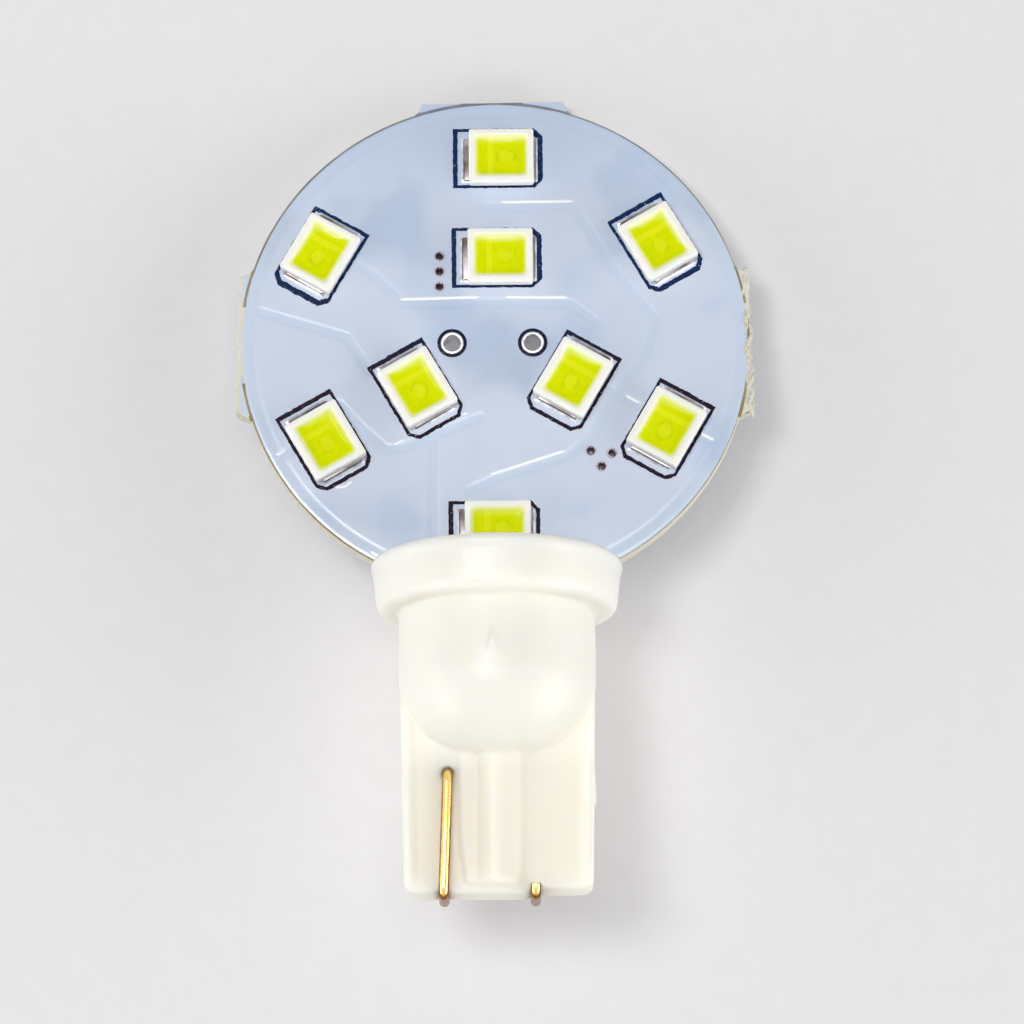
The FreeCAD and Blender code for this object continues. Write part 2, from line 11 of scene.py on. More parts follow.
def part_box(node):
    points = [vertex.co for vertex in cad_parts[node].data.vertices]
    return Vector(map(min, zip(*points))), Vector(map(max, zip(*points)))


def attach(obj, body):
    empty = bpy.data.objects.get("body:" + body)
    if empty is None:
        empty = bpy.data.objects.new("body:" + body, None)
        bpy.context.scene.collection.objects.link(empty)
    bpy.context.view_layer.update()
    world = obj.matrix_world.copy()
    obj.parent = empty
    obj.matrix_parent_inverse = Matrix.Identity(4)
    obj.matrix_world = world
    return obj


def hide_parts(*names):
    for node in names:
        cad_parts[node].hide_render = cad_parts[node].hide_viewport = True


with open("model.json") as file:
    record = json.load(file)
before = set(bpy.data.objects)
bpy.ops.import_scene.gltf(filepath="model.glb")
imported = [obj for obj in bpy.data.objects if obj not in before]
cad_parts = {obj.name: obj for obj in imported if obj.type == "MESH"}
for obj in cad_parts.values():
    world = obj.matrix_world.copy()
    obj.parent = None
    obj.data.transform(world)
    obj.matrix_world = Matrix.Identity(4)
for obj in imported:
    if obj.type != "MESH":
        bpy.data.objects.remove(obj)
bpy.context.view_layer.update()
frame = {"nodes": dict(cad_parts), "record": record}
print("frame loaded,", len(frame["nodes"]), "nodes")

# Pieces are drawn in mm on the board: X across, Y towards its far edge, Z out of the lit
# face, with Z=0 in the middle of the laminate. The base uses the same axes, from its mouth.
mm = 0.001
board = {"radius": 12.5, "half": 0.6, "tabHalf": 3.8, "collarRadius": 6.0}
face = board["half"]


def middleOf(nodeName):
    low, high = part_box(nodeName)
    return (low + high) / 2


mounts = {mount["name"]: mount for mount in frame["record"]["mounts"]}
across = Vector((1, 0, 0))
along = -Vector(mounts["barrel"]["axis"]).normalized()
outward = across.cross(along)
leadHole = middleOf("lead_hole_plating_left")
boardPlace = (Matrix.Translation((0, leadHole.y, leadHole.z))
              @ Matrix((across, along, outward)).transposed().to_4x4() @ Matrix.Scale(mm, 4))
boardSeat = math.sqrt(board["radius"] ** 2 - board["collarRadius"] ** 2)
basePlace = boardPlace @ Matrix.Translation((0, -boardSeat, 0))
toBoard = boardPlace.inverted()


# Camera, at the photograph's view of the bulb.
camera = {"target": (0.77, -0.81, 3.0), "distance": 220, "lean": 2.1, "roll": -0.49,
          "pixelsPerMm": 20.323, "imageWidth": 1024, "sensor": 36.0}


def placeCamera():
    lean, roll = math.radians(camera["lean"]), math.radians(camera["roll"])
    backwards = Vector((0, -math.sin(lean), math.cos(lean)))
    rightWay = math.cos(roll) * across + math.sin(roll) * backwards.cross(across)
    axes = Matrix((rightWay, backwards.cross(rightWay), backwards)).transposed().to_4x4()
    eye = Vector(camera["target"]) + camera["distance"] * backwards
    data = bpy.data.cameras.new("photoCamera")
    data.sensor_width = camera["sensor"]
    data.lens = (camera["sensor"] * camera["pixelsPerMm"] * camera["distance"]
                 / camera["imageWidth"])
    data.clip_start, data.clip_end = 0.005, 5
    item = bpy.data.objects.new("photoCamera", data)
    item.matrix_world = Matrix.Translation(eye * mm) @ axes
    bpy.context.scene.collection.objects.link(item)
    bpy.context.scene.camera = item


placeCamera()


# Meshes

def spun(degrees):
    return Matrix.Rotation(math.radians(degrees), 4, "Z")


def spread(low, high, count):
    # from low to high in so many steps
    return [low + (high - low) * i / count for i in range(count + 1)]


def angles(count):
    return [2 * math.pi * k / count for k in range(count)]


def stepped(a, b, count):
    # even steps on the line from a to b, without b itself
    return [(a[0] + (b[0] - a[0]) * i / count, a[1] + (b[1] - a[1]) * i / count)
            for i in range(count)]


def waysAlong(points):
    # the direction of a line at each of its points
    for i in range(len(points)):
        before, after = points[max(0, i - 1)], points[min(len(points) - 1, i + 1)]
        yield Vector((after[0] - before[0], after[1] - before[1])).normalized()


def wander(*place):
    # smooth repeatable noise from -1 to 1
    return noise.noise(Vector(place))


def newObject(mesh, name="making"):
    item = bpy.data.objects.new(name, mesh)
    bpy.context.scene.collection.objects.link(item)
    return item


def meshOf(bm, name="making"):
    bmesh.ops.recalc_face_normals(bm, faces=bm.faces[:])
    mesh = bpy.data.meshes.new(name)
    bm.to_mesh(mesh)
    bm.free()
    return mesh


def settled(source):
    # the object's mesh with its modifiers applied; the object itself goes
    graph = bpy.context.evaluated_depsgraph_get()
    mesh = bpy.data.meshes.new_from_object(source.evaluated_get(graph),
                                           preserve_all_data_layers=True, depsgraph=graph)
    source.modifiers.clear()
    bpy.data.objects.remove(source)
    return mesh


def carved(mesh, cutterMesh):
    # the first mesh less the second
    item, cutter = newObject(mesh), newObject(cutterMesh)
    cut = item.modifiers.new("carving", "BOOLEAN")
    cut.object, cut.solver = cutter, "EXACT"
    left = settled(item)
    bpy.data.objects.remove(cutter)
    return left


def markPoints(mesh, name, rule):
    # rule gives the value at a point, or is one value for all or a list with each
    if callable(rule):
        rule = [float(rule(vertex.co)) for vertex in mesh.vertices]
    elif isinstance(rule, float):
        rule = [rule] * len(mesh.vertices)
    mesh.attributes.new(name, "FLOAT", "POINT").data.foreach_set("value", rule)


def finishPiece(name, mesh, material, slotName, replaced=(), sharp=40, place=boardPlace):
    mesh.transform(place)
    mesh.name = name
    mesh.materials.clear()
    mesh.materials.append(material)
    mesh.polygons.foreach_set("material_index", [0] * len(mesh.polygons))
    mesh.shade_smooth()
    mesh.set_sharp_from_angle(angle=math.radians(sharp))
    piece = newObject(mesh, name)
    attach(piece, "root")
    if replaced:
        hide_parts(*replaced)


def skin(bm, loops, ring=False):
    # faces over loops with the same number of points; a ring closes on its first loop
    rows = [[bm.verts.new(point) for point in loop] for loop in loops]
    pairs = list(zip(rows, rows[1:])) + ([(rows[-1], rows[0])] if ring else [])
    for lower, upper in pairs:
        for i in range(len(lower)):
            j = (i + 1) % len(lower)
            bm.faces.new((lower[i], lower[j], upper[j], upper[i]))
    if not ring:
        bm.faces.new(rows[0][::-1])
        bm.faces.new(rows[-1])


def skinned(*forms, ring=False):
    # one mesh of several forms, each a list of loops
    bm = bmesh.new()
    for loops in forms:
        skin(bm, loops, ring)
    return meshOf(bm)


def roundedLoop(halfX, halfY, radius, z, steps=4, middle=(0, 0)):
    points = []
    for i, (signX, signY) in enumerate(((1, 1), (-1, 1), (-1, -1), (1, -1))):
        for step in range(steps + 1):
            angle = math.radians(90 * i + 90 * step / steps)
            points.append(Vector((middle[0] + signX * (halfX - radius) + radius * math.cos(angle),
                                  middle[1] + signY * (halfY - radius) + radius * math.sin(angle),
                                  z)))
    return points


def endLoop(x, halfY, radius, z, halfZ, steps=4):
    # rounded loop that faces along X
    return [Vector((x, p.x, z + p.y)) for p in roundedLoop(halfY, halfZ, radius, 0, steps)]


def circleLoop(radius, z, count=48, middle=(0, 0)):
    return [Vector((middle[0] + radius * math.cos(a), middle[1] + radius * math.sin(a), z))
            for a in angles(count)]


def turned(profile, count=48, middle=(0, 0)):
    # a profile of (radius, z) turned about an axis
    return [circleLoop(radius, z, count, middle) for radius, z in profile]


def heightSolid(bm, xs, ys, height):
    # closed solid on Z=0 with a grid top; height takes x and y
    top = [[bm.verts.new((x, y, height(x, y))) for y in ys] for x in xs]
    under = [[bm.verts.new((x, y, 0)) for y in ys] for x in xs]
    for i in range(len(xs) - 1):
        for j in range(len(ys) - 1):
            bm.faces.new((top[i][j], top[i + 1][j], top[i + 1][j + 1], top[i][j + 1]))
            bm.faces.new((under[i][j], under[i][j + 1], under[i + 1][j + 1], under[i + 1][j]))
    edge = ([(i, 0) for i in range(len(xs))] + [(len(xs) - 1, j) for j in range(1, len(ys))]
            + [(i, len(ys) - 1) for i in range(len(xs) - 2, -1, -1)]
            + [(0, j) for j in range(len(ys) - 2, 0, -1)])
    for (i, j), (k, m) in zip(edge, edge[1:] + edge[:1]):
        bm.faces.new((top[i][j], under[i][j], under[k][m], top[k][m]))


# Node trees

def add(tree, kind, inputs=None, **settings):
    # one node with its settings; an input is a value or another node's output
    made = tree.nodes.new(kind)
    for key, value in settings.items():
        setattr(made, key, value)
    for key, value in (inputs or {}).items():
        if isinstance(value, bpy.types.NodeSocket):
            tree.links.new(value, made.inputs[key])
        else:
            made.inputs[key].default_value = value
    return made


def linear(code):
    # sRGB hex to the linear colour that a node takes
    parts = [int(code[i:i + 2], 16) / 255 for i in (1, 3, 5)]
    return tuple(c / 12.92 if c <= 0.04045 else ((c + 0.055) / 1.055) ** 2.4
                 for c in parts) + (1.0,)


class Look:
    # a shader's node tree, with short words for its common nodes
    def __init__(self, tree):
        self.tree = tree

    def named(self, label):
        return add(self.tree, "ShaderNodeAttribute", attribute_name=label).outputs["Fac"]

    def clouds(self, size, detail=2.0, **more):
        # noise with patches of that size in mm
        inputs = {"Vector": self.place, "Scale": 1000 / size, "Detail": detail, **more}
        return add(self.tree, "ShaderNodeTexNoise", inputs).outputs[0]

    def axes(self, vector):
        return add(self.tree, "ShaderNodeSeparateXYZ", {0: vector}).outputs

    def calc(self, operation, *values):
        return add(self.tree, "ShaderNodeMath", dict(enumerate(values)),
                   operation=operation).outputs[0]

    def vector(self, operation, *values):
        made = add(self.tree, "ShaderNodeVectorMath", dict(enumerate(values)),
                   operation=operation)
        return made.outputs["Value" if operation == "LENGTH" else 0]

    def ramp(self, value, low, high, start=0.0, end=1.0, soft=False):
        # start where the value is low, end where it is high
        return add(self.tree, "ShaderNodeMapRange", {
            "Value": value, "From Min": low, "From Max": high, "To Min": start,
            "To Max": end}, interpolation_type="SMOOTHSTEP" if soft else "LINEAR").outputs[0]

    def mix(self, share, first, second):
        # from the first tone to the second, each a code or another node's colour
        tones = {key: linear(tone) if isinstance(tone, str) else tone
                 for key, tone in ((6, first), (7, second))}
        return add(self.tree, "ShaderNodeMix", {0: share, **tones}, data_type="RGBA").outputs[2]

    def seenBy(self, *kinds):
        # 1 for these kinds of ray
        rays = add(self.tree, "ShaderNodeLightPath").outputs
        share = rays[f"Is {kinds[0]} Ray"]
        for kind in kinds[1:]:
            share = self.calc("MAXIMUM", share, rays[f"Is {kind} Ray"])
        return share

    def finish(self, colour, grain, rough=None, dent=None):
        # the grain varies the roughness and, with a strength and a depth in mm, the height
        self.tree.links.new(colour, self.shader.inputs["Base Color"])
        if rough:
            self.tree.links.new(self.ramp(grain, 0.0, 1.0, *rough),
                                self.shader.inputs["Roughness"])
        if dent:
            bump = add(self.tree, "ShaderNodeBump",
                       {"Height": grain, "Strength": dent[0], "Distance": dent[1] * mm})
            self.tree.links.new(bump.outputs[0], self.shader.inputs["Normal"])
        return self.material


def startLook(name, sockets):
    material = bpy.data.materials.new(name)
    material.use_nodes = True
    look = Look(material.node_tree)
    look.material, look.shader = material, look.tree.nodes["Principled BSDF"]
    look.place = add(look.tree, "ShaderNodeTexCoord").outputs["Object"]
    for key, value in sockets.items():
        look.shader.inputs[key].default_value = value
    return look


# Geometry Nodes

def openTree(name, sockets):
    tree = bpy.data.node_groups.new(name, "GeometryNodeTree")
    for label, kind in sockets.items():
        tree.interface.new_socket(label, in_out="INPUT", socket_type=f"NodeSocket{kind}")
    tree.interface.new_socket("Mesh", in_out="OUTPUT", socket_type="NodeSocketGeometry")
    return tree, tree.nodes.new("NodeGroupInput").outputs


def closeTree(tree, geometry, finish):
    real = add(tree, "GeometryNodeRealizeInstances", {"Geometry": geometry})
    painted = add(tree, "GeometryNodeSetMaterial", {"Geometry": real.outputs[0],
                                                    "Material": finish})
    add(tree, "NodeGroupOutput", {0: painted.outputs[0]})


def runTree(tree, mesh, values):
    source = newObject(mesh)
    modifier = source.modifiers.new("making", "NODES")
    modifier.node_group = tree
    for item in tree.interface.items_tree:
        if item.in_out == "INPUT" and item.name in values:
            modifier[item.identifier] = values[item.name]
    return settled(source)


def makeCopyTree():
    # copies of one master on points that carry a heading
    tree, given = openTree("placeCopies", {"Points": "Geometry", "Master": "Object",
                                           "Size": "Float", "Finish": "Material"})
    master = add(tree, "GeometryNodeObjectInfo", {"Object": given["Master"]})
    heading = add(tree, "GeometryNodeInputNamedAttribute", {"Name": "heading"},
                  data_type="FLOAT")
    turn = add(tree, "ShaderNodeCombineXYZ", {"Z": heading.outputs[0]})
    rotation = add(tree, "FunctionNodeEulerToRotation", {0: turn.outputs[0]})
    copies = add(tree, "GeometryNodeInstanceOnPoints",
                 {"Points": given["Points"], "Instance": master.outputs["Geometry"],
                  "Rotation": rotation.outputs[0], "Scale": given["Size"]})
    closeTree(tree, copies.outputs[0], given["Finish"])
    return tree


copyTree = makeCopyTree()


def copiesOf(masterMesh, spots, finish, size=1.0):
    # spots are ((x, y, z), heading in degrees)
    master = newObject(masterMesh)
    points = bpy.data.meshes.new("spots")
    points.from_pydata([spot for spot, heading in spots], [], [])
    markPoints(points, "heading", [math.radians(heading) for spot, heading in spots])
    mesh = runTree(copyTree, points, {"Master": master, "Size": size, "Finish": finish})
    bpy.data.objects.remove(master)
    return mesh


# Materials

def makeMaskInk():
    # white solder mask, screened and baked: a glossy pale blue skin, deeper over bare
    # laminate than over copper, with faint clouds and fine orange peel
    look = startLook("bakedSolderMask", {"IOR": 1.52, "Coat Weight": 0.25,
                                         "Coat Roughness": 0.06})
    cloudy = look.ramp(look.clouds(5.0), 0.48, 0.72, soft=True)
    tone = look.mix(look.named("copper"), "#C8D6EA", "#CDD7E9")
    # the skin is bluer in faint clouds and towards the far edge
    far = look.ramp(look.axes(look.place)[1], 0.0125, 0.0185, 0.0, 0.7, soft=True)
    thin = look.calc("MAXIMUM", cloudy, far)
    return look.finish(look.mix(thin, tone, "#BACAE2"), look.clouds(0.55, 3.0),
                       (0.14, 0.26), (0.12, 0.01))


def makeLaminate():
    # woven glass in epoxy, snapped and routed: pale cream plies, and a dark line round the
    # upper edge, partly brown router scorch and partly painted shade, greyer towards the far side
    look = startLook("routedGlassEpoxy", {"IOR": 1.55})
    ply = look.calc("SINE", look.calc("MULTIPLY", look.named("level"), 26.0))
    fibre = look.clouds(0.18, 4.0, Roughness=0.7)
    cream = look.mix(look.calc("MULTIPLY_ADD", ply, 0.22, fibre), "#BDB9A6", "#E6E4D6")
    # the edge line's tone: brown scorch with painted shade, painted grey blue on the far side
    far = look.ramp(look.axes(look.place)[1], 0.008, 0.016)
    scorchShadeTone = look.mix(far, "#8B7A4C", "#6E7480")
    blotch = look.ramp(look.clouds(1.6, 3.0), 0.3, 0.6, 0.75, 1.0)
    scorchShadeShare = look.calc("MULTIPLY", look.named("scorchAndShade"), blotch)
    return look.finish(look.mix(scorchShadeShare, cream, scorchShadeTone), fibre, (0.5, 0.85), (0.6, 0.04))


def makePrintInk():
    # screened epoxy ink: blue black, plum nearer the base, with pale specks painted in as glints
    look = startLook("screenedInk", {"IOR": 1.5, "Specular IOR Level": 0.12})
    far = look.ramp(look.axes(look.place)[1], 0.006, 0.0115)
    grain = look.clouds(0.08)
    # pale specks where the grain peaks: painted glints
    ink = look.mix(look.ramp(grain, 0.68, 0.72), look.mix(far, "#15051B", "#00234F"), "#B9C0DC")
    return look.finish(ink, grain, (0.3, 0.55), (0.4, 0.01))


def makeMetal(name, bright, dull, rough, grainSize, dent):
    # two tones and a fine grain
    look = startLook(name, {"Metallic": 1.0})
    grain = look.clouds(grainSize, 4.0, Roughness=0.6)
    patch = look.ramp(look.clouds(grainSize * 6), 0.4, 0.65)
    return look.finish(look.mix(patch, bright, dull), grain, (rough * 0.6, rough * 1.4),
                       (0.5, dent))


def makeGoldPlate():
    # drawn brass wire with a thin gold plate: pale gold where it faces straight out from the
    # wedge, a painted highlight, and brown down its sides, painted shade and dark reflection
    # with some tarnish
    look = startLook("goldPlatedWire", {"Metallic": 1.0})
    stain = look.clouds(0.5, 4.0)
    # painted highlight on the faces, painted shade on the sides, broken up by tarnish blotches
    paintedTopLight = look.ramp(look.calc("MULTIPLY_ADD", stain, 0.5, look.named("facing")), 0.72, 1.06,
                      soft=True)
    tone = look.mix(paintedTopLight, "#8A5618", look.mix(stain, "#FFEBA6", "#FFCF62"))
    return look.finish(tone, look.clouds(0.1, 3.0), (0.16, 0.34), (0.3, 0.008))


def makeHousingPlastic():
    # moulded polyamide LED housing: matt white with a warm bloom, fine specks, and the
    # phosphor's colour in the lip round the window
    look = startLook("mouldedLedHousing", {"IOR": 1.53, "Subsurface Weight": 0.25,
                                           "Subsurface Scale": 0.0004})
    tone = look.mix(look.clouds(1.3, 3.0), "#FBFAF6", "#F4F1EA")
    return look.finish(look.mix(look.named("lip"), tone, "#FCFADF"), look.clouds(0.06),
                       (0.38, 0.6), (0.25, 0.008))


def makePhosphor():
    # phosphor powder in clear silicone: strong yellow green that pales over the sloped
    # wall of the well, a paler bar over the frame and the chip's oval under the surface
    look = startLook("phosphorSilicone", {"IOR": 1.45, "Roughness": 0.16,
                                          "Specular IOR Level": 0.08})
    flat = add(look.tree, "ShaderNodeUVMap", uv_map="windowMap").outputs[0]
    axes = look.axes(flat)
    gaps = [look.calc("SUBTRACT", half, look.calc("ABSOLUTE", axes[i]))
            for i, half in enumerate(window)]
    depth = look.ramp(look.calc("SMOOTH_MIN", *gaps, 0.35), 0.02, 0.2, soft=True)
    powder = look.clouds(0.35, 4.0)
    tone = look.mix(powder, "#E5EF00", "#D3E100")
    bar = look.calc("COMPARE", axes[0], led["barAcross"], led["barHalf"])
    tone = look.mix(look.calc("MULTIPLY", bar, 0.45), tone, "#F0F22A")
    centred = look.vector("ADD", flat, (-led["chipAcross"], 0, 0))
    reach = look.vector("LENGTH", look.vector("MULTIPLY", centred, led["chipShare"]))
    tone = look.mix(look.ramp(reach, 0.85, 1.15, 0.35, 0.0), tone, "#E9EE30")
    # a faint broken shade round the chip
    apart = look.calc("ABSOLUTE", look.calc("SUBTRACT", reach, 1.15))
    ring = look.calc("MULTIPLY", look.ramp(apart, 0.5, 0.0, soft=True),
                     look.ramp(powder, 0.4, 0.62, 0.0, 0.2))
    tone = look.mix(depth, "#F4F3C4", look.mix(ring, tone, "#AEBB00"))
    # painted highlight: where the gel's slope faces the base it is painted paler, the more so
    # towards the disc's far edge, standing in for the lamps' reflection in the meniscus
    slope = look.axes(add(look.tree, "ShaderNodeNewGeometry").outputs["Normal"])
    paintedGelHighlight = look.calc("MULTIPLY", look.ramp(slope[1], 0.15, -0.13, 0.0, 0.9, soft=True),
                      look.ramp(look.axes(look.place)[1], 0.002, 0.01, 0.3, 1.0))
    # and near white where that slope also faces sideways: a painted glint
    corner = look.ramp(look.calc("ABSOLUTE", slope[0]), 0.1, 0.3, soft=True)
    tone = look.mix(paintedGelHighlight, tone, look.mix(corner, "#F1F3A6", "#FFFFF2"))
    return look.finish(tone, powder, dent=(0.15, 0.02))


def makeMilkyPlastic():
    # injection moulded polyamide: milky and a little translucent, satin, with soft flow
    # clouds, and yellower in the thin wedge than in the barrel
    look = startLook("milkyPolyamide", {
        "IOR": 1.53, "Subsurface Weight": 0.85, "Subsurface Radius": (1.0, 0.88, 0.68),
        "Subsurface Scale": 0.0022})
    tone = look.mix(look.clouds(4.5, 3.0, Distortion=0.6), "#F8F3E9", "#F2ECDF")
    return look.finish(look.mix(look.named("thin"), tone, "#EDE9DD"), look.clouds(0.3, 4.0),
                       (0.32, 0.5), (0.15, 0.02))


def makeDullSolid(name, dark, pale, rough, speckSize, ior=1.5, dent=0.01):
    # mixed powder body, such as filled epoxy, ferrite or fired ceramic
    look = startLook(name, {"IOR": ior})
    speck = look.clouds(speckSize, 5.0, Roughness=0.65)
    blend = look.calc("MULTIPLY", speck, look.clouds(speckSize * 12))
    return look.finish(look.mix(look.ramp(blend, 0.12, 0.42), dark, pale), speck,
                       (rough * 0.75, rough * 1.25), (0.5, dent))


def makeViaSkin():
    # mask that runs thin over the copper of a via: pink on the rim, and plum down inside the
    # hole as painted shade
    look = startLook("thinMaskOnCopper", {"IOR": 1.5})
    pool = look.clouds(0.12, 3.0)
    rim = look.ramp(look.calc("MULTIPLY_ADD", pool, 0.03, look.named("level")), 0.02, 0.045)
    # below the rim the plum is painted shade
    return look.finish(look.mix(rim, "#5C4A5E", "#DFC9D2"), pool, (0.18, 0.36), (0.3, 0.01))


led = {"caseLength": 3.2, "caseWidth": 2.8, "foot": 0.19, "height": 0.78, "shift": 0.17,
       "windowLength": 2.65, "windowWidth": 2.15, "windowRound": 0.25, "wellDepth": 0.3,
       "meniscus": 0.13, "barAcross": -0.53, "barHalf": 0.15, "chipAcross": 0.24,
       "chipShare": (2.6, 3.2, 0), "outlineLength": 4.45, "outlineWidth": 3.1,
       "outlineCut": 0.42, "bandSide": 0.155, "bandAnode": 0.23, "terminalWidth": 2.2,
       "terminalLow": 0.04, "terminalHigh": 0.19, "terminalEdge": 0.05, "terminalRound": 0.08}
window = (led["windowLength"] / 2, led["windowWidth"] / 2)

maskInk = makeMaskInk()
# mask drawn up into a bead at the copper's edge: glossier than the flat mask, and painted
# near white as a highlight
maskBeadHighlight = makeDullSolid("maskBeadHighlight", "#EEF3FB", "#FFFFFF", 0.16, 0.3, 1.7, 0.002)
viaSkin = makeViaSkin()
laminate = makeLaminate()
printInk = makePrintInk()
housingPlastic = makeHousingPlastic()
phosphorGel = makePhosphor()
milkyPlastic = makeMilkyPlastic()
goldPlate = makeGoldPlate()
# hot tin levelling: bright, slightly cloudy
tinPlate = makeMetal("tinnedCopper", "#EFEFF1", "#CFD0D4", 0.32, 0.1, 0.004)
# reflowed solder: silvery with a fine frost
solderAlloy = makeMetal("reflowedSolder", "#DDE0E6", "#AEB1BA", 0.45, 0.08, 0.006)
# silver plated lead frame, tarnished brown where flux ran over it
silverPlate = makeMetal("silverPlatedFrame", "#B5B1B2", "#655A57", 0.3, 0.25, 0.004)
# enamelled copper wire: orange brown and glossy
enamelCopper = makeMetal("enamelledCopper", "#C9703A", "#A5501F", 0.28, 0.15, 0.004)
# filled black epoxy, transfer moulded: charcoal with a fine matt grain
mouldedEpoxy = makeDullSolid("mouldedEpoxy", "#161618", "#2C2C2F", 0.5, 0.09)
# sintered ferrite: dark grey and dry
ferriteGrey = makeDullSolid("sinteredFerrite", "#1E1E20", "#3C3B3C", 0.7, 0.14)
# fired barium titanate: tan with pale grains
ceramicTan = makeDullSolid("firedCeramic", "#8F6B49", "#B58E66", 0.42, 0.1)
print("materials made")


# Circuit board: laminate, solder mask on both faces, printed outlines and plating
plate = {"coreHalf": 0.55, "chamfer": 0.02, "leadDrill": 0.44, "viaDrill": 0.19,
         "scorchDepth": 0.1, "scorchReach": 12.52, "farScorchReach": 12.9}
mask = {"radius": 12.42, "frontCells": 290, "rearCells": 190, "copperStep": 0.022,
        "gapHalf": 0.24, "slope": 0.1, "pourRadius": 11.75, "offset": 0.03, "sunk": 0.03,
        "rimWide": 0.12, "rimFall": 0.03, "tornAcross": 12.34, "tornFrom": 11.8,
        "leadOpening": 0.6, "viaOpening": 0.2, "snapCells": 0.55, "openShare": 0.97}
# each snapped tab: bearing, reach at its clockwise and other end, how ragged it is, which
# ends are torn aslant, and how far its mask stops short of the break
tabs = ({"facing": 0, "first": 12.6, "last": 12.5, "rag": 0.12, "aslant": (-1, 1), "bare": 0.5},
        {"facing": 90, "first": 12.55, "last": 12.47, "rag": 0.015, "aslant": (-1, 1),
         "bare": 0.01},
        {"facing": 180, "first": 12.58, "last": 12.7, "rag": 0.08, "aslant": (-1, 1),
         "bare": 0.16},
        {"facing": 270, "first": 12.75, "last": 12.75, "rag": 0.06, "aslant": (), "bare": 0.05})
leadHoles = [(-2.095, 0.0), (1.855, 0.0)]
vias = [(-2.7, 4.48), (-2.7, 3.7), (-2.7, 2.92), (4.63, -5.54), (5.67, -5.67), (5.15, -6.32)]

# middle lines of the gaps between copper areas, in mm on the board
frontGaps = [
    [(-12.5, 2.0), (-7.25, 0.36), (-6.12, -1.44)],
    [(-7.59, -3.06), (-6.71, -4.09), (-5.34, -5.37), (-4.56, -5.33), (-0.75, -3.78)],
    [(-3.0, -4.78), (-3.02, -10.98)],
    [(-0.44, 7.04), (3.96, 7.0), (5.75, 3.96), (7.87, 1.21), (7.51, -0.33), (6.1, -2.47),
     (4.95, -4.5), (3.62, -5.75), (-0.04, -6.93), (-1.26, -7.48)],
    [(-7.01, 4.23), (-6.02, 3.6), (-4.45, 2.09), (3.71, 2.02), (4.97, 1.03)],
    [(-11.38, -6.38), (-9.53, -5.08)],
    [(5.42, -2.36), (7.07, -3.35), (9.97, -4.9), (11.32, -5.67)]]
rearGaps = [
    [(-11.0, 4.5), (-6.6, 2.7), (-3.2, 2.2), (-3.0, 6.4), (2.4, 6.6), (2.2, 1.2)],
    [(-8.8, -2.6), (-2.9, -2.4), (-2.7, -6.0), (0, -6.1), (0, -9.4)],
    [(0, 1.4), (0, -1.2), (3.0, -1.4), (3.1, -6.2), (9.8, -6.8)],
    [(2.2, 1.2), (8.9, 1.3), (9.6, 5.2)]]
# short copper edges that fall towards the base and catch the upper light
brightEdges = [
    [(0.31, 7.29), (3.92, 7.31)], [(-4.65, 2.3), (-0.71, 2.37)], [(0.52, 2.36), (3.57, 2.33)],
    [(-0.28, -6.68), (3.38, -5.5)], [(-10.7, -5.63), (-10.17, -5.33)],
    [(-4.95, -5.12), (-4.37, -4.87)], [(-1.63, -3.65), (-1.34, -3.58)],
    [(6.39, -2.73), (7.07, -3.14)], [(9.92, -4.64), (10.65, -5.06)],
    [(-6.12, -10.5), (-5.44, -10.86)], [(-7.82, -7.3), (-7.34, -7.24), (-6.95, -6.97)]]


def tabAxes(tab):
    turn = math.radians(tab["facing"])
    out = Vector((math.cos(turn), math.sin(turn)))
    return out, Vector((-out.y, out.x))


def tabReach(tab, v, layer):
    # how far out the tab ends at v mm along it
    facing, half = tab["facing"], board["tabHalf"]
    reach = tab["first"] + (tab["last"] - tab["first"]) * (v / half + 1) / 2
    reach -= tab["rag"] * (abs(wander(v * 2.3, layer * 0.9, facing)) * 1.1
                           + abs(wander(v * 9.0, layer * 2.1, facing + 7)) * 0.6)
    circle = math.sqrt(board["radius"] ** 2 - v * v)
    for end in tab["aslant"]:
        reach = min(reach, circle + 2.2 * max(0, half - v * end) ** 1.2)
    return max(reach, circle - 0.02)


def outlineAt(z, layer):
    # disc with four tabs, snapped a little differently in each ply
    points = []
    half = math.degrees(math.asin(board["tabHalf"] / board["radius"]))
    for tab in tabs:
        out, side = tabAxes(tab)
        for i in range(81):
            v = board["tabHalf"] * (i / 40 - 1)
            points.append(out * tabReach(tab, v, layer) + side * v)
        for i in range(1, 80):
            angle = math.radians(tab["facing"] + half + (90 - 2 * half) * i / 80)
            radius = board["radius"] + 0.012 * wander(math.cos(angle) * 9, math.sin(angle) * 9,
                                                      layer * 0.6) - 0.012
            points.append(Vector((radius * math.cos(angle), radius * math.sin(angle))))
    return [Vector((p.x, p.y, z)) for p in points]


def makeBoardCore():
    top, edge = plate["coreHalf"], plate["chamfer"]
    levels = [-top, -top + edge] + [top * k / 5 for k in range(-4, 5)] + [top - edge, top]
    loops = []
    for index, z in enumerate(levels):
        inset = edge if abs(z) > top - edge / 2 else 0
        loops.append([Vector((p.x - inset * p.x / p.length, p.y - inset * p.y / p.length, z))
                      for p in outlineAt(z, index)])
    drills = [turned(((radius, -1), (radius, 1)), count, spot) for spots, radius, count in (
        (leadHoles, plate["leadDrill"], 40), (vias, plate["viaDrill"], 24)) for spot in spots]
    mesh = carved(skinned(loops), skinned(*drills))
    markPoints(mesh, "level", lambda p: p.z)
    # the upper rim of the edge wall takes the scorch colour and painted shade
    markPoints(mesh, "scorchAndShade", lambda p: p.z > top - plate["scorchDepth"] and p.xy.length
               < plate["farScorchReach" if p.y > 11 else "scorchReach"])
    finishPiece("boardLaminate", mesh, laminate, "board_laminate", ["circuit_board"], 35)


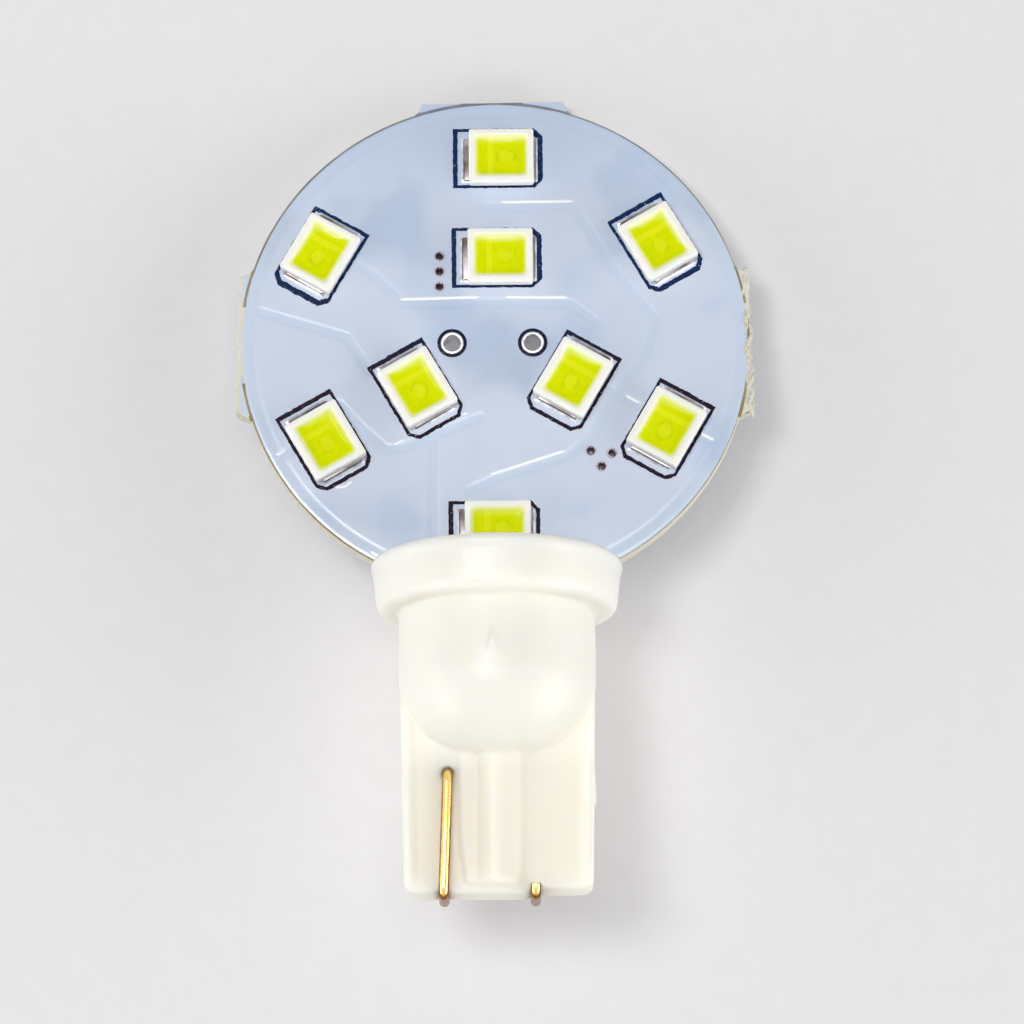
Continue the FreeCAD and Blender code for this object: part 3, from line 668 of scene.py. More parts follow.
# the cut round the disc at each end of a tab: where it starts, its steps in degrees, its
# width, and how far its floor and lip lie from the core's top
score = {"starts": (-18.0, 9.0), "steps": 30, "step": 0.3, "inner": 12.38, "innerLimit": 12.42,
         "taper": 0.006, "outer": 12.53, "floor": -0.05, "lip": 0.006}


def makeScoreLines():
    low, high = plate["coreHalf"] + score["floor"], plate["coreHalf"] + score["lip"]
    forms = []
    for facing in (tab["facing"] for tab in tabs):
        for start in score["starts"]:
            forms.append([])
            for i in range(score["steps"] + 1):
                angle = math.radians(facing + start + score["step"] * i)
                way = Vector((math.cos(angle), math.sin(angle), 0))
                # deeper towards the base
                deep = 0.07 * max(0, -way.y - 0.12) / 0.2 if facing in (0, 180) else 0
                inner = min(score["inner"] + score["taper"] * min(i, score["steps"] - i),
                            score["innerLimit"])
                outer = score["outer"] + deep + 0.015 * wander(i * 0.5, facing + start, 2.0)
                forms[-1].append([way * r + Vector((0, 0, z)) for r, z in (
                    (inner, low), (outer, low), (outer, high), (inner, high))])
    mesh = skinned(*forms)
    markPoints(mesh, "level", 0.0)
    # the score cuts take the edge line's colour all over: scorch and painted shade
    markPoints(mesh, "scorchAndShade", 1.0)
    finishPiece("scoreLines", mesh, laminate, "board_laminate")


# fibres on each side tab: how many, where along the tab, how far inside its edge, how high
# and at what heading; the right ones reach past the edge, up to a limit
fibres = {"seed": 5, "length": 7.0, "thick": 0.5, "squash": (1.6, 0.8, 1.2, 1),
          "past": 0.06, "limit": 12.66, "rightSizes": (0.15, 0.11, 0.08), "leftSize": 0.07,
          "right": {"count": 109, "along": (-3.45, 3.55), "inside": (0.08, 0.3),
                    "height": (0.3, 0.56), "turn": 30},
          "left": {"count": 39, "along": (-3.5, 3.5), "inside": (0.04, 0.14),
                   "height": (0.1, 0.53), "turn": 12}}


def fibreSpots(side, tab, sign, dice):
    spots = []
    for v in spread(*side["along"], side["count"]):
        reach = tabReach(tab, sign * v, dice.randint(0, 9))
        if sign > 0:
            reach = min(fibres["limit"], reach + fibres["past"])
        spots.append(((sign * (reach - dice.uniform(*side["inside"])), v,
                       dice.uniform(*side["height"])), dice.uniform(-side["turn"], side["turn"])))
    return spots


def makeTornFibres():
    # bundles of glass that stand out of the snapped edges, most on the right
    dice = random.Random(fibres["seed"])
    loops = []
    for t in spread(0, 1, 8):
        thick = fibres["thick"] * math.sin(math.pi * (0.06 + 0.88 * t)) ** 0.6
        loops.append([Vector((thick * math.cos(a), (t - 0.5) * fibres["length"],
                              thick * math.sin(a))) for a in angles(8)])
    master = skinned(loops)
    master.transform(Matrix.Diagonal(fibres["squash"]))
    right = fibreSpots(fibres["right"], tabs[0], 1, dice)
    left = fibreSpots(fibres["left"], tabs[2], -1, dice)
    groups = [(right[i::3], size) for i, size in enumerate(fibres["rightSizes"])]
    both = bmesh.new()
    for group, size in groups + [(left, fibres["leftSize"])]:
        both.from_mesh(copiesOf(master.copy(), group, laminate, size))
    mesh = meshOf(both)
    markPoints(mesh, "level", lambda p: p.z + 0.35 * wander(p.y * 4, p.x * 4, 1.0))
    markPoints(mesh, "scorchAndShade", 0.0)
    finishPiece("tornFibres", mesh, laminate, "board_laminate", sharp=80)


def squareOnDisc(cells, radius):
    # a square grid laid on a disc, so that no cell is narrow and the rim is round
    t = np.linspace(-1, 1, cells + 1)
    a, b = np.meshgrid(t, t, indexing="ij")
    wide = np.abs(a) > np.abs(b)
    safeA, safeB = np.where(a == 0, 1, a), np.where(b == 0, 1, b)
    reach = np.where(wide, a, b)
    angle = np.where(wide, np.pi / 4 * b / safeA, np.pi / 2 - np.pi / 4 * a / safeB)
    angle = np.where((a == 0) & (b == 0), 0, angle)
    return (radius * reach * np.cos(angle)).ravel(), (radius * reach * np.sin(angle)).ravel()


def gapDistance(x, y, lines):
    nearest = np.full(x.shape, 1e9)
    for line in lines:
        for (x0, y0), (x1, y1) in zip(line, line[1:]):
            dx, dy = x1 - x0, y1 - y0
            t = np.clip(((x - x0) * dx + (y - y0) * dy) / (dx * dx + dy * dy), 0, 1)
            nearest = np.minimum(nearest, np.hypot(x - x0 - t * dx, y - y0 - t * dy))
    return nearest


def softStep(value):
    return value * value * (3 - 2 * value)


def makeMask(name, cells, gaps, facing):
    # one sheet whose height follows the copper below it; facing is 1 in front, -1 behind
    openings = ([(spot, mask["leadOpening"]) for spot in leadHoles]
                + [(spot, mask["viaOpening"]) for spot in vias])
    radius, slope = mask["radius"], mask["slope"]
    x, y = squareOnDisc(cells, radius)
    step = 2 * radius / cells
    for (cx, cy), opening in openings:
        away = np.hypot(x - cx, y - cy)
        near = np.abs(away - opening) < mask["snapCells"] * step
        scale = np.where(near, opening / np.maximum(away, 1e-6), 1)
        x, y = cx + (x - cx) * scale, cy + (y - cy) * scale
    # the screened mask sits a little towards the lower right of the disc
    offset = mask["offset"] * (np.hypot(x, y) / radius) ** 4
    x, y = x + offset, y - offset
    if facing > 0:
        # torn back to a straight line at the right tab
        torn = mask["tornAcross"] + 0.02 * np.sin(y * 2.1) * np.sin(y * 5.3)
        rim = np.sqrt(np.maximum(radius ** 2 - y * y, 0))
        start = mask["tornFrom"]
        squeeze = (torn - start) / np.maximum(rim - start, 0.01)
        x = np.where((x > start) & (rim > torn), start + (x - start) * squeeze, x)
    reach = np.hypot(x, y)
    rise = np.clip((gapDistance(x, y, gaps) - mask["gapHalf"] + slope) / (2 * slope), 0, 1)
    edge = np.clip((mask["pourRadius"] + slope - reach) / (2 * slope), 0, 1)
    copper = softStep(rise) * softStep(edge)
    rim = np.clip((reach - (radius - mask["rimWide"])) / mask["rimWide"], 0, 1)
    z = facing * (face - mask["copperStep"] * (1 - copper) - mask["rimFall"] * rim * rim)
    count = cells + 1
    i, j = np.meshgrid(np.arange(cells), np.arange(cells), indexing="ij")
    first = (i * count + j).ravel()
    quads = np.stack((first, first + count, first + count + 1, first + 1), 1)
    keep = np.ones(len(quads), bool)
    for (cx, cy), opening in openings:
        middle = np.hypot(x[quads].mean(1) - cx, y[quads].mean(1) - cy)
        keep &= middle > opening * mask["openShare"]
    quads = quads[keep] if facing > 0 else quads[keep][:, ::-1]
    used, flat = np.unique(quads, return_inverse=True)
    mesh = bpy.data.meshes.new(name)
    mesh.from_pydata(np.stack((x, y, z), 1)[used].tolist(), [],
                     flat.reshape(quads.shape).tolist())
    markPoints(mesh, "copper", copper[used].astype(np.float32))
    bm = bmesh.new()
    bm.from_mesh(mesh)
    border = [item for item in bm.edges if item.is_boundary]
    for item in bmesh.ops.extrude_edge_only(bm, edges=border)["geom"]:
        if isinstance(item, bmesh.types.BMVert):
            item.co.z = facing * (plate["coreHalf"] - mask["sunk"])
    bm.to_mesh(mesh)
    bm.free()
    finishPiece(name, mesh, maskInk, "board_laminate", sharp=50)


def makeTabMask():
    # what is left of the mask on the snapped tabs, past the scored circle
    top, gap = plate["coreHalf"], 0.04
    strips = []
    for tab in tabs:
        out, side = tabAxes(tab)
        strips.append([])
        for i in range(97):
            v = (board["tabHalf"] - gap) * (i / 48 - 1)
            inner = math.sqrt((board["radius"] + gap) ** 2 - v * v)
            ragged = (abs(wander(v * 3.1, tab["facing"], 4.0))
                      + abs(wander(v * 11, tab["facing"], 9.0)))
            outer = tabReach(tab, v, 11) - tab["bare"] - tab["rag"] * ragged
            if outer - inner > 0.03:
                a, b = out * inner + side * v, out * outer + side * v
                strips[-1].append([Vector((p.x, p.y, top + z)) for p, z in (
                    (a, -0.01), (b, -0.01), (b, 0.02), (a, 0.03))])
            else:
                strips.append([])
    mesh = skinned(*(strip for strip in strips if len(strip) > 1))
    markPoints(mesh, "copper", 1.0)
    finishPiece("tabMask", mesh, maskInk, "board_laminate")


# the bead of mask in section: across the edge and up from the face
beadSection = ((-0.09, -0.02), (-0.06, 0.012), (0.04, 0.01), (0.07, -0.008), (0.1, -0.05),
               (-0.1, -0.05))


def makeBrightEdges():
    forms = []
    for line in brightEdges:
        points = []
        for a, b in zip(line, line[1:]):
            points += stepped(a, b, max(2, round(math.dist(a, b) / 0.12)))
        points.append(line[-1])
        forms.append([])
        for i, ((px, py), way) in enumerate(zip(points, waysAlong(points))):
            down = Vector((way.y, -way.x))
            down = down if down.y < 0 else -down
            t = i / (len(points) - 1)
            grow = min(1, 25 * t, 25 * (1 - t)) * 0.96 + 0.04
            wide = grow * (1 + 0.1 * wander(px * 2.5, py * 2.5, 3.0))
            forms[-1].append([Vector((px + down.x * s * wide, py + down.y * s * wide,
                                      face + (h * grow if h > 0 else h)))
                              for s, h in beadSection])
    finishPiece("maskRidges", skinned(*forms), maskBeadHighlight, "board_laminate", sharp=60)


def printedBand(outer, inner, place, high, rough, seed):
    # band of ink between two outlines with the same corners, its edges a little ragged
    loops = []
    low = face - 0.045
    for corners, sign, z in ((outer, 1, low), (outer, 1, high), (inner, -1, high),
                             (inner, -1, low)):
        loops.append([])
        for a, b in zip(corners, corners[1:] + corners[:1]):
            for px, py in stepped(a, b, 48):
                jag = rough * (wander(px * 4, py * 4, seed + sign)
                               + 0.8 * wander(px * 13, py * 13, seed - sign))
                grow = 1 + jag / math.hypot(px, py)
                loops[-1].append(place @ Vector((px * grow, py * grow, z)))
    return loops


# each LED's heading, how far it slid along and across its print when it was soldered, as
# the solids have it, and how wide the print is at its cathode end
leds = {"outer_90": (0, 0, -0.11, 0.34), "outer_30": (300, -0.12, 0, 0.26),
        "outer_330": (240, -0.2, 0, 0.2), "outer_270": (0, 0, 0, 0.2),
        "outer_210": (300, -0.07, 0, 0.2), "outer_150": (240, -0.25, 0, 0.3),
        "inner_90": (0, 0, -0.09, 0.3), "inner_330": (240, -0.25, 0, 0.2),
        "inner_210": (300, -0.17, 0, 0.2)}


def ledSpots(printed=False):
    # where the LEDs stand, or where their prints do
    spots = []
    for name, entry in leds.items():
        heading, (x, y) = entry[0], entry[1:3] if printed else (0, 0)
        centre = toBoard @ middleOf(f"led_{name}_case")
        back = spun(heading) @ Vector((x + led["shift"], y, 0))
        spots.append(((centre.x - back.x, centre.y - back.y, face), heading))
    return spots


def makeOutlinePrint():
    x, y, cut = led["outlineLength"] / 2, led["outlineWidth"] / 2, led["outlineCut"]
    outer = [(-x, -y), (x - cut, -y), (x, -y + cut), (x, y - cut), (x - cut, y), (-x, y)]
    inY, left, inCut = y - led["bandSide"], -x + led["bandAnode"], cut - 0.1
    forms = []
    for index, (entry, (spot, heading)) in enumerate(zip(leds.values(), ledSpots(True))):
        inX = x - entry[3]
        inner = [(left, -inY), (inX - inCut, -inY), (inX, -inY + inCut), (inX, inY - inCut),
                 (inX - inCut, inY), (left, inY)]
        place = Matrix.Translation((spot[0], spot[1], 0)) @ spun(heading)
        forms.append(printedBand(outer, inner, place, face + 0.012, 0.034, index * 3.3))
    forms += [turned([(0.553, face - 0.04), (0.722, face - 0.04), (0.725, face + 0.008),
                      (0.715, face + 0.012), (0.553, face + 0.012)], 56, spot)
              for spot in leadHoles]
    finishPiece("printedOutlines", skinned(*forms, ring=True), printInk, "board_laminate")


def makeRearPrint():
    # plain part outlines on the rear face
    forms = []
    high = face + 0.01
    for part in rearParts.values():
        if part["kind"] == "coil":
            inner, outer = part["printRing"]
            forms.append(turned([(inner, face - 0.04), (outer, face - 0.04), (outer, high),
                                 (inner, high)], 72, (-part["across"], part["along"])))
            continue
        x, y = part["printX"] / 2, part["printY"] / 2
        outer, inner = ([(-a, -b), (a, -b), (a, b), (-a, b)]
                        for a, b in ((x, y), (x - 0.13, y - 0.13)))
        place = Matrix.Translation((-part["across"], part["along"], 0)) @ spun(part["heading"])
        forms.append(printedBand(outer, inner, place, high, 0.012, part["across"]))
    finishPiece("rearPrint", skinned(*forms, ring=True), printInk, "board_laminate",
                place=boardPlace @ Matrix.Rotation(math.pi, 4, "Y"))


# plating from the board's middle outwards: radius and height over the face
leadTin = ((0.45, -0.01), (0.55, -0.01), (0.552, 0.022), (0.52, 0.042), (0.475, 0.05),
           (0.435, 0.042), (0.408, 0.015), (0.4, -0.04))
viaTin = ((0.2, -0.02), (0.265, -0.02), (0.27, 0), (0.255, 0.03), (0.235, 0.035),
          (0.21, 0.006), (0.18, -0.05), (0.15, -0.12))


def throughBoard(section, count, spot):
    # the same form on both faces, joined through the hole
    upper = [(radius, face + height) for radius, height in section]
    return turned(upper + [(radius, -z) for radius, z in upper[::-1]], count, spot)


def makePlating():
    for side, spot in zip(("left", "right"), leadHoles):
        finishPiece(f"leadHoleTin{side.capitalize()}",
                    skinned(throughBoard(leadTin, 72, spot), ring=True), tinPlate,
                    "hole_plating", [f"lead_hole_plating_{side}"], 50)
    mesh = skinned(*(throughBoard(viaTin, 32, spot) for spot in vias), ring=True)
    markPoints(mesh, "level", lambda p: abs(p.z) - face)
    finishPiece("viaRings", mesh, viaSkin, "hole_plating", ["via_plating"], 60)


specks = {"radius": 12.0, "perArea": 0.22, "size": 0.05, "seed": 11, "flat": 0.22}


def makeSpecks():
    # specks that lie in the mask: a scatter with a fixed seed
    tree, given = openTree("scatterSpecks", {
        "Surface": "Geometry", "Per square mm": "Float", "Speck size": "Float",
        "Seed": "Int", "Finish": "Material"})
    spots = add(tree, "GeometryNodeDistributePointsOnFaces",
                {"Mesh": given["Surface"], "Density": given["Per square mm"],
                 "Seed": given["Seed"]})
    grain = add(tree, "GeometryNodeMeshIcoSphere", {"Radius": 1.0, "Subdivisions": 2})
    squash = add(tree, "GeometryNodeTransform", {"Geometry": grain.outputs[0],
                                                 "Scale": (1.0, 1.0, specks["flat"])})
    dice = add(tree, "FunctionNodeRandomValue", {2: 0.3, 3: 1.0, "Seed": given["Seed"]},
               data_type="FLOAT")
    size = add(tree, "ShaderNodeMath", {0: dice.outputs[1], 1: given["Speck size"]},
               operation="MULTIPLY")
    copies = add(tree, "GeometryNodeInstanceOnPoints",
                 {"Points": spots.outputs[0], "Instance": squash.outputs[0],
                  "Scale": size.outputs[0]})
    closeTree(tree, copies.outputs[0], given["Finish"])
    bm = bmesh.new()
    bm.faces.new([bm.verts.new(point)
                  for point in circleLoop(specks["radius"], face - 0.004, 64)])
    mesh = runTree(tree, meshOf(bm), {
        "Per square mm": specks["perArea"], "Speck size": specks["size"],
        "Seed": specks["seed"], "Finish": maskInk})
    finishPiece("maskSpecks", mesh, maskInk, "board_laminate", sharp=60)


# Rear driver parts, in mm on the rear face; across is seen from the front
capacitor = {"kind": "chip", "length": 3.2, "width": 1.6, "height": 1.1, "end": 0.45,
             "printX": 4.6, "printY": 2.1}
rearParts = {
    "bridge": {"kind": "leaded", "node": "bridge_rectifier", "row": 4.6, "span": 3.8,
               "height": 1.3, "leadWidth": 0.7, "reach": 0.8, "across": 0.0, "along": -3.4,
               "heading": 0, "leads": ((-1, -1.27), (-1, 1.27), (1, -1.27), (1, 1.27)),
               "printX": 5.0, "printY": 6.0},
    "driver": {"kind": "leaded", "node": "driver_ic", "row": 4.5, "span": 2.5, "height": 1.3,
               "leadWidth": 0.45, "reach": 0.8, "across": -5.6, "along": 0.6, "heading": 90,
               "leads": ((-1, -1.5), (-1, 0), (-1, 1.5), (1, 0)), "printX": 4.9,
               "printY": 4.6},
    "diode": {"kind": "leaded", "node": "freewheel_diode", "row": 1.8, "span": 2.8,
              "height": 0.9, "leadWidth": 1.0, "reach": 0.45, "across": -5.6, "along": -4.2,
              "heading": 0, "leads": ((-1, 0), (1, 0)), "printX": 2.2, "printY": 4.4},
    "inductor": {"kind": "coil", "across": 5.6, "along": -1.4, "heading": 0, "core": 4.5,
                 "hub": 0.9, "flange": 0.6, "height": 2.6, "wound": 3.9, "wire": 0.14,
                 "printRing": (2.42, 2.56)},
    "inputCapacitor": {**capacitor, "node": "input_capacitor", "across": 0.0, "along": -7.6,
                       "heading": 0},
    "outputCapacitor": {**capacitor, "node": "output_capacitor", "across": 3.4, "along": 3.6,
                        "heading": 90},
    "senseResistor": {"kind": "chip", "node": "sense_resistor", "length": 2.0, "width": 1.25,
                      "height": 0.5, "end": 0.3, "across": -4.8, "along": 4.3,
                      "heading": 0, "printX": 3.2, "printY": 1.7}}

makeBoardCore()
makeMask("maskFront", mask["frontCells"], frontGaps, 1)
makeMask("maskRear", mask["rearCells"], rearGaps, -1)
makeScoreLines()
makeTornFibres()
makeTabMask()
makeBrightEdges()
makeOutlinePrint()
makeRearPrint()
makePlating()
makeSpecks()
print("board made")


# LEDs: one master of each kind, placed nine times

def makeHousingMaster():
    shift, half, wide = led["shift"], led["caseLength"] / 2, led["caseWidth"] / 2
    (inX, inY), inR = window, led["windowRound"]
    top, foot, well = led["height"], led["foot"], led["height"] - led["wellDepth"]
    profile = ((half - 0.05, wide - 0.05, 0.1, foot), (half, wide, 0.12, foot + 0.05),
               (half, wide, 0.12, top - 0.1), (half - 0.012, wide - 0.012, 0.12, top - 0.04),
               (half - 0.04, wide - 0.04, 0.11, top - 0.01),
               (half - 0.08, wide - 0.08, 0.1, top), (inX + 0.12, inY + 0.12, inR, top),
               (inX + 0.06, inY + 0.06, inR + 0.02, top),
               (inX + 0.02, inY + 0.02, inR + 0.02, top), (inX, inY, inR, top - 0.012),
               (inX - 0.13, inY - 0.13, inR - 0.05, well))
    mesh = skinned([roundedLoop(x, y, r, z, 6, (shift, 0)) for x, y, r, z in profile])

    def lip(p):
        # 1 at the window's edge, 0 from 0.11 mm outside it
        away = max(abs(p.x - shift) - inX, abs(p.y) - inY, 0)
        return max(0.0, 1 - away / 0.11) if p.z > top - 0.02 else 0.0

    markPoints(mesh, "lip", lip)
    return mesh


def makePhosphorMaster():
    (inX, inY), inR = window, led["windowRound"]
    top, well = led["height"] - 0.022, led["height"] - led["wellDepth"]
    profile = [(0.12, well + 0.01), (0.012, top - 0.03), (0.006, top - 0.004)]
    for inset in (0.01, 0.03, 0.06, 0.1, 0.14, 0.18, 0.22, 0.27, 0.33, 0.4, 0.5, 0.65, 0.8):
        sag = min(1, inset / 0.5)
        profile.append((inset, top - led["meniscus"] * (1 - (1 - sag) ** 2)))
    mesh = skinned([roundedLoop(inX - inset, inY - inset,
                                min(inR + inset * 0.9, inY - inset - 0.02), z, 10,
                                (led["shift"], 0)) for inset, z in profile])
    flat = mesh.uv_layers.new(name="windowMap")
    spots = [mesh.vertices[loop.vertex_index].co for loop in mesh.loops]
    flat.data.foreach_set("uv", [c for p in spots for c in (p.x - led["shift"], p.y)])
    return mesh


# each end of an LED: side, terminal length, how far it stands proud of the case and how
# far the solder runs out
ends = ((-1, 2.0, 0.25, 0.14), (1, 0.9, 0.09, 0.12))


def terminalTip(sign, proud):
    return led["shift"] + sign * (led["caseLength"] / 2 + proud)


def makeTerminalMaster():
    low, high, edge = led["terminalLow"], led["terminalHigh"], led["terminalEdge"]
    levels = ((low, edge), (low + edge * 0.3, edge * 0.3), (low + edge, 0),
              ((low + high) / 2, 0), (high - edge, 0), (high - edge * 0.3, edge * 0.3),
              (high, edge))
    forms = []
    for sign, length, proud in (end[:3] for end in ends):
        middle = (terminalTip(sign, proud) - sign * length / 2, 0)
        forms.append([roundedLoop(length / 2 - inset, led["terminalWidth"] / 2 - inset,
                                  led["terminalRound"], z, 4, middle) for z, inset in levels])
    return skinned(*forms)


solder = {"halfWide": 1.175, "flatHalf": 1.02, "thick": 0.036, "climb": 0.085, "fade": 0.08}


def makeSolderMaster():
    # a wetted pad that climbs the terminal's end in a hollow curve
    bm = bmesh.new()
    for sign, length, proud, reach in ends:
        tip = terminalTip(sign, proud)

        def height(x, y):
            out = (x - tip) * sign
            climb = solder["climb"] * max(0, 1 - out / reach) ** 2.4 if out > 0 else 0.0
            side = max(0.0, (abs(y) - solder["flatHalf"])
                       / (solder["halfWide"] - solder["flatHalf"]))
            end = max(0.0, (out - reach + solder["fade"]) / solder["fade"])
            worn = 0.003 * wander(x * 3, y * 2, sign)
            return max(0.004, solder["thick"] + climb * (1 - side) + worn
                       - 0.03 * max(side, end) ** 2)

        low, high = sorted((tip - sign * length, tip + sign * reach))
        heightSolid(bm, spread(low, high, 40),
                    spread(-solder["halfWide"], solder["halfWide"], 24), height)
    return meshOf(bm)


def makeLeds():
    spots = ledSpots()
    for name, master, finish, slotName, kind in (
            ("ledHousings", makeHousingMaster(), housingPlastic, "led_case", "case"),
            ("ledPhosphor", makePhosphorMaster(), phosphorGel, "led_phosphor", "phosphor"),
            ("ledTerminals", makeTerminalMaster(), silverPlate, "led_terminal", "terminals"),
            ("ledSolder", makeSolderMaster(), solderAlloy, "solder", "solder")):
        finishPiece(name, copiesOf(master, spots, finish), finish, slotName,
                    [f"led_{ledName}_{kind}" for ledName in leds], 50)


makeLeds()
print("LEDs made")


# Moulded base: the solid's form with the mould's soft forms added, merged and smoothed
base = {"voxel": 0.115, "smoothing": 5, "rimWidth": 0.42, "rimProud": 0.09,
        "ledgeAcross": -1.15, "ledgeHalf": 0.95, "ledgeProud": 0.16, "wedgeHalf": 4.66,
        "wedgeTaper": 0.2, "wedgeFrom": 5.9, "wedgeLength": 10.6, "wedgeThick": 1.05,
        "barrelRadius": 4.66, "gateAlong": -5.0, "shortFrom": 1.6, "shortBy": 0.22}


def solidForm(name, apart):
    # the solid's mesh in mm from the base's mouth
    bm = bmesh.new()
    bm.from_mesh(frame["nodes"][name].data)
    bm.transform(basePlace.inverted())
    bmesh.ops.remove_doubles(bm, verts=bm.verts, dist=apart)
    return bm


def makeBase():
    bm = solidForm("base_moulding", 0.001)
    # raised rims along the wedge's sides
    for side in (-1, 1):
        loops = []
        for i in range(9):
            y = -6.9 - 9.0 * i / 8
            outer = side * (base["wedgeHalf"] - base["wedgeTaper"] * (-y - base["wedgeFrom"])
                            / base["wedgeLength"])
            middle = outer - side * base["rimWidth"] / 2
            loops.append([Vector((middle + p.x, y, p.y)) for p in
                          roundedLoop(base["rimWidth"] / 2, base["wedgeThick"]
                                      + base["rimProud"], 0.08, 0)])
        skin(bm, loops)
    # a low ledge beside the middle rib on each face
    for side in (-1, 1):
        loops = []
        for i in range(13):
            t = i / 12
            half = base["ledgeHalf"] * (1 - 0.25 * t) * (1 - 0.4 * max(0, t - 0.8) / 0.2)
            loops.append([Vector((side * base["ledgeAcross"] + half * math.cos(a),
                                  -8.0 - 8.0 * t, side * base["wedgeThick"]
                                  + base["ledgeProud"] * math.sin(a))) for a in angles(20)])
        skin(bm, loops)
    # gate marks on the barrel: two short strokes that meet
    for x, lean in ((-0.42, 0.26), (-0.02, -0.2)):
        loops = []
        for k in (-0.97, -0.8, -0.4, 0, 0.4, 0.8, 0.97):
            swell = math.sqrt(1 - k * k)
            loops.append([Vector((x + lean * (k + 1) / 2 + 0.13 * swell * math.cos(a),
                                  base["gateAlong"] + 0.75 * k,
                                  base["barrelRadius"] + 0.26 * swell * math.sin(a)))
                          for a in angles(12)])
        skin(bm, loops)
    item = newObject(meshOf(bm))
    merge = item.modifiers.new("merge", "REMESH")
    merge.mode, merge.voxel_size = "VOXEL", base["voxel"]
    ease = item.modifiers.new("ease", "SMOOTH")
    ease.factor, ease.iterations = 0.5, base["smoothing"]
    mesh = settled(item)
    print("base:", len(mesh.polygons), "faces")
    # the right half of the wedge's end was moulded a little short
    for vertex in mesh.vertices:
        past, right = -vertex.co.y - 15.6, vertex.co.x - base["shortFrom"]
        if past > 0 and right > 0:
            vertex.co.y += base["shortBy"] * min(1, right / 0.5) * min(1, past)
    markPoints(mesh, "thin", lambda p: min(1, max(0, -p.y - 9.2) / 1.2))
    finishPiece("baseMoulding", mesh, milkyPlastic, "base_plastic", ["base_moulding"], 80,
                basePlace)


makeBase()
print("base made")


# Contact wires and the solder that holds them

def makeWires():
    for side in ("left", "right"):
        mesh = meshOf(solidForm(f"contact_wire_{side}", 0.0005))
        # facing is 1 where the wire faces straight out from the wedge, which the gold finish
        # paints as lit
        markPoints(mesh, "facing", [abs(vertex.normal.z) for vertex in mesh.vertices])
        finishPiece(f"contactWire{side.capitalize()}", mesh, goldPlate, "contact_gold",
                    [f"contact_wire_{side}"], 50, basePlace)


def makeWireSolder():
    low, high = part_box("wire_solder")
    corners = [toBoard @ Vector((x, y, z)) for x in (low.x, high.x) for y in (low.y, high.y)
               for z in (low.z, high.z)]
    left, right = min(c.x for c in corners), max(c.x for c in corners)
    centre = toBoard @ ((low + high) / 2)
    radius, tall = 0.85, 0.8
    forms = []
    for x in (left + radius, right - radius):
        forms.append([])
        for t in spread(0, 1, 10):
            reach = radius * (1 - t) ** 0.75 * (1 + 0.1 * math.sin(3 * t)) + 0.02
            forms[-1].append([Vector((
                x + reach * (1 + 0.05 * wander(a, t * 2, x)) * math.cos(a),
                centre.y + reach * math.sin(a), -face - tall * t ** 1.35))
                for a in angles(32)])
    finishPiece("wireSolder", skinned(*forms), solderAlloy, "solder", ["wire_solder"], 60)


makeWires()
makeWireSolder()
print("wires made")


# Rear parts

def rearPlace(part):
    return (Matrix.Translation((part["across"], part["along"], -face))
            @ Matrix.Rotation(math.pi, 4, "Y") @ spun(part["heading"]))


# the cases' height over the board and the leads' thickness
caseLift, leadThick = 0.2, 0.16


def makeLeadedCase(name, part, seam, place):
    row, span, height = part["row"], part["span"], part["height"]
    levels = ((caseLift, 0.1), (caseLift + 0.04, 0.07), (seam, 0.0), (seam + 0.03, 0.0),
              (height - 0.1, 0.05), (height - 0.03, 0.075), (height, 0.13))
    body = skinned([roundedLoop(row / 2 - inset, span / 2 - inset, 0.12, z, 5)
                    for z, inset in levels])
    if name == "diode":
        # a groove at the cathode end, where the others have a dimple
        dimple = [roundedLoop(row / 2, 0.14, 0.03, z, 3, (0, span / 2 - 0.5))
                  for z in (height - 0.03, height + 0.1)]
    else:
        dimple = turned(((0.2, height - 0.05), (0.24, height - 0.03), (0.27, height + 0.1)),
                        28, (-row / 2 + 0.6, -span / 2 + 0.55))
    finishPiece(f"{name}Case", carved(body, skinned(dimple)), mouldedEpoxy, "black_epoxy",
                [f"{part['node']}_case"], 35, place)


def gullWing(part, seam):
    # one lead along Y, from inside the case to its foot
    out, halfWide = part["reach"], part["leadWidth"] / 2
    if out > 0.6:
        line = [(-0.3, seam), (0.12, seam), (0.2, seam - 0.04), (0.26, seam - 0.14),
                (0.3, 0.3), (0.33, 0.16), (0.4, 0.09), (out, 0.09)]
    else:
        line = [(-0.3, seam), (0.02, seam), (0.08, seam - 0.05), (0.1, 0.3), (0.13, 0.15),
                (0.2, 0.09), (out, 0.09)]
    section = ((-1, -0.5), (-0.95, -1), (0.95, -1), (1, -0.5), (1, 0.5), (0.95, 1),
               (-0.95, 1), (-1, 0.5))
    loops = []
    for (y, z), way in zip(line, waysAlong(line)):
        up = Vector((-way.y, way.x)) * leadThick / 2
        loops.append([Vector((sx * halfWide, y + up.x * sz, max(0.004, z + up.y * sz)))
                      for sx, sz in section])
    return skinned(loops)


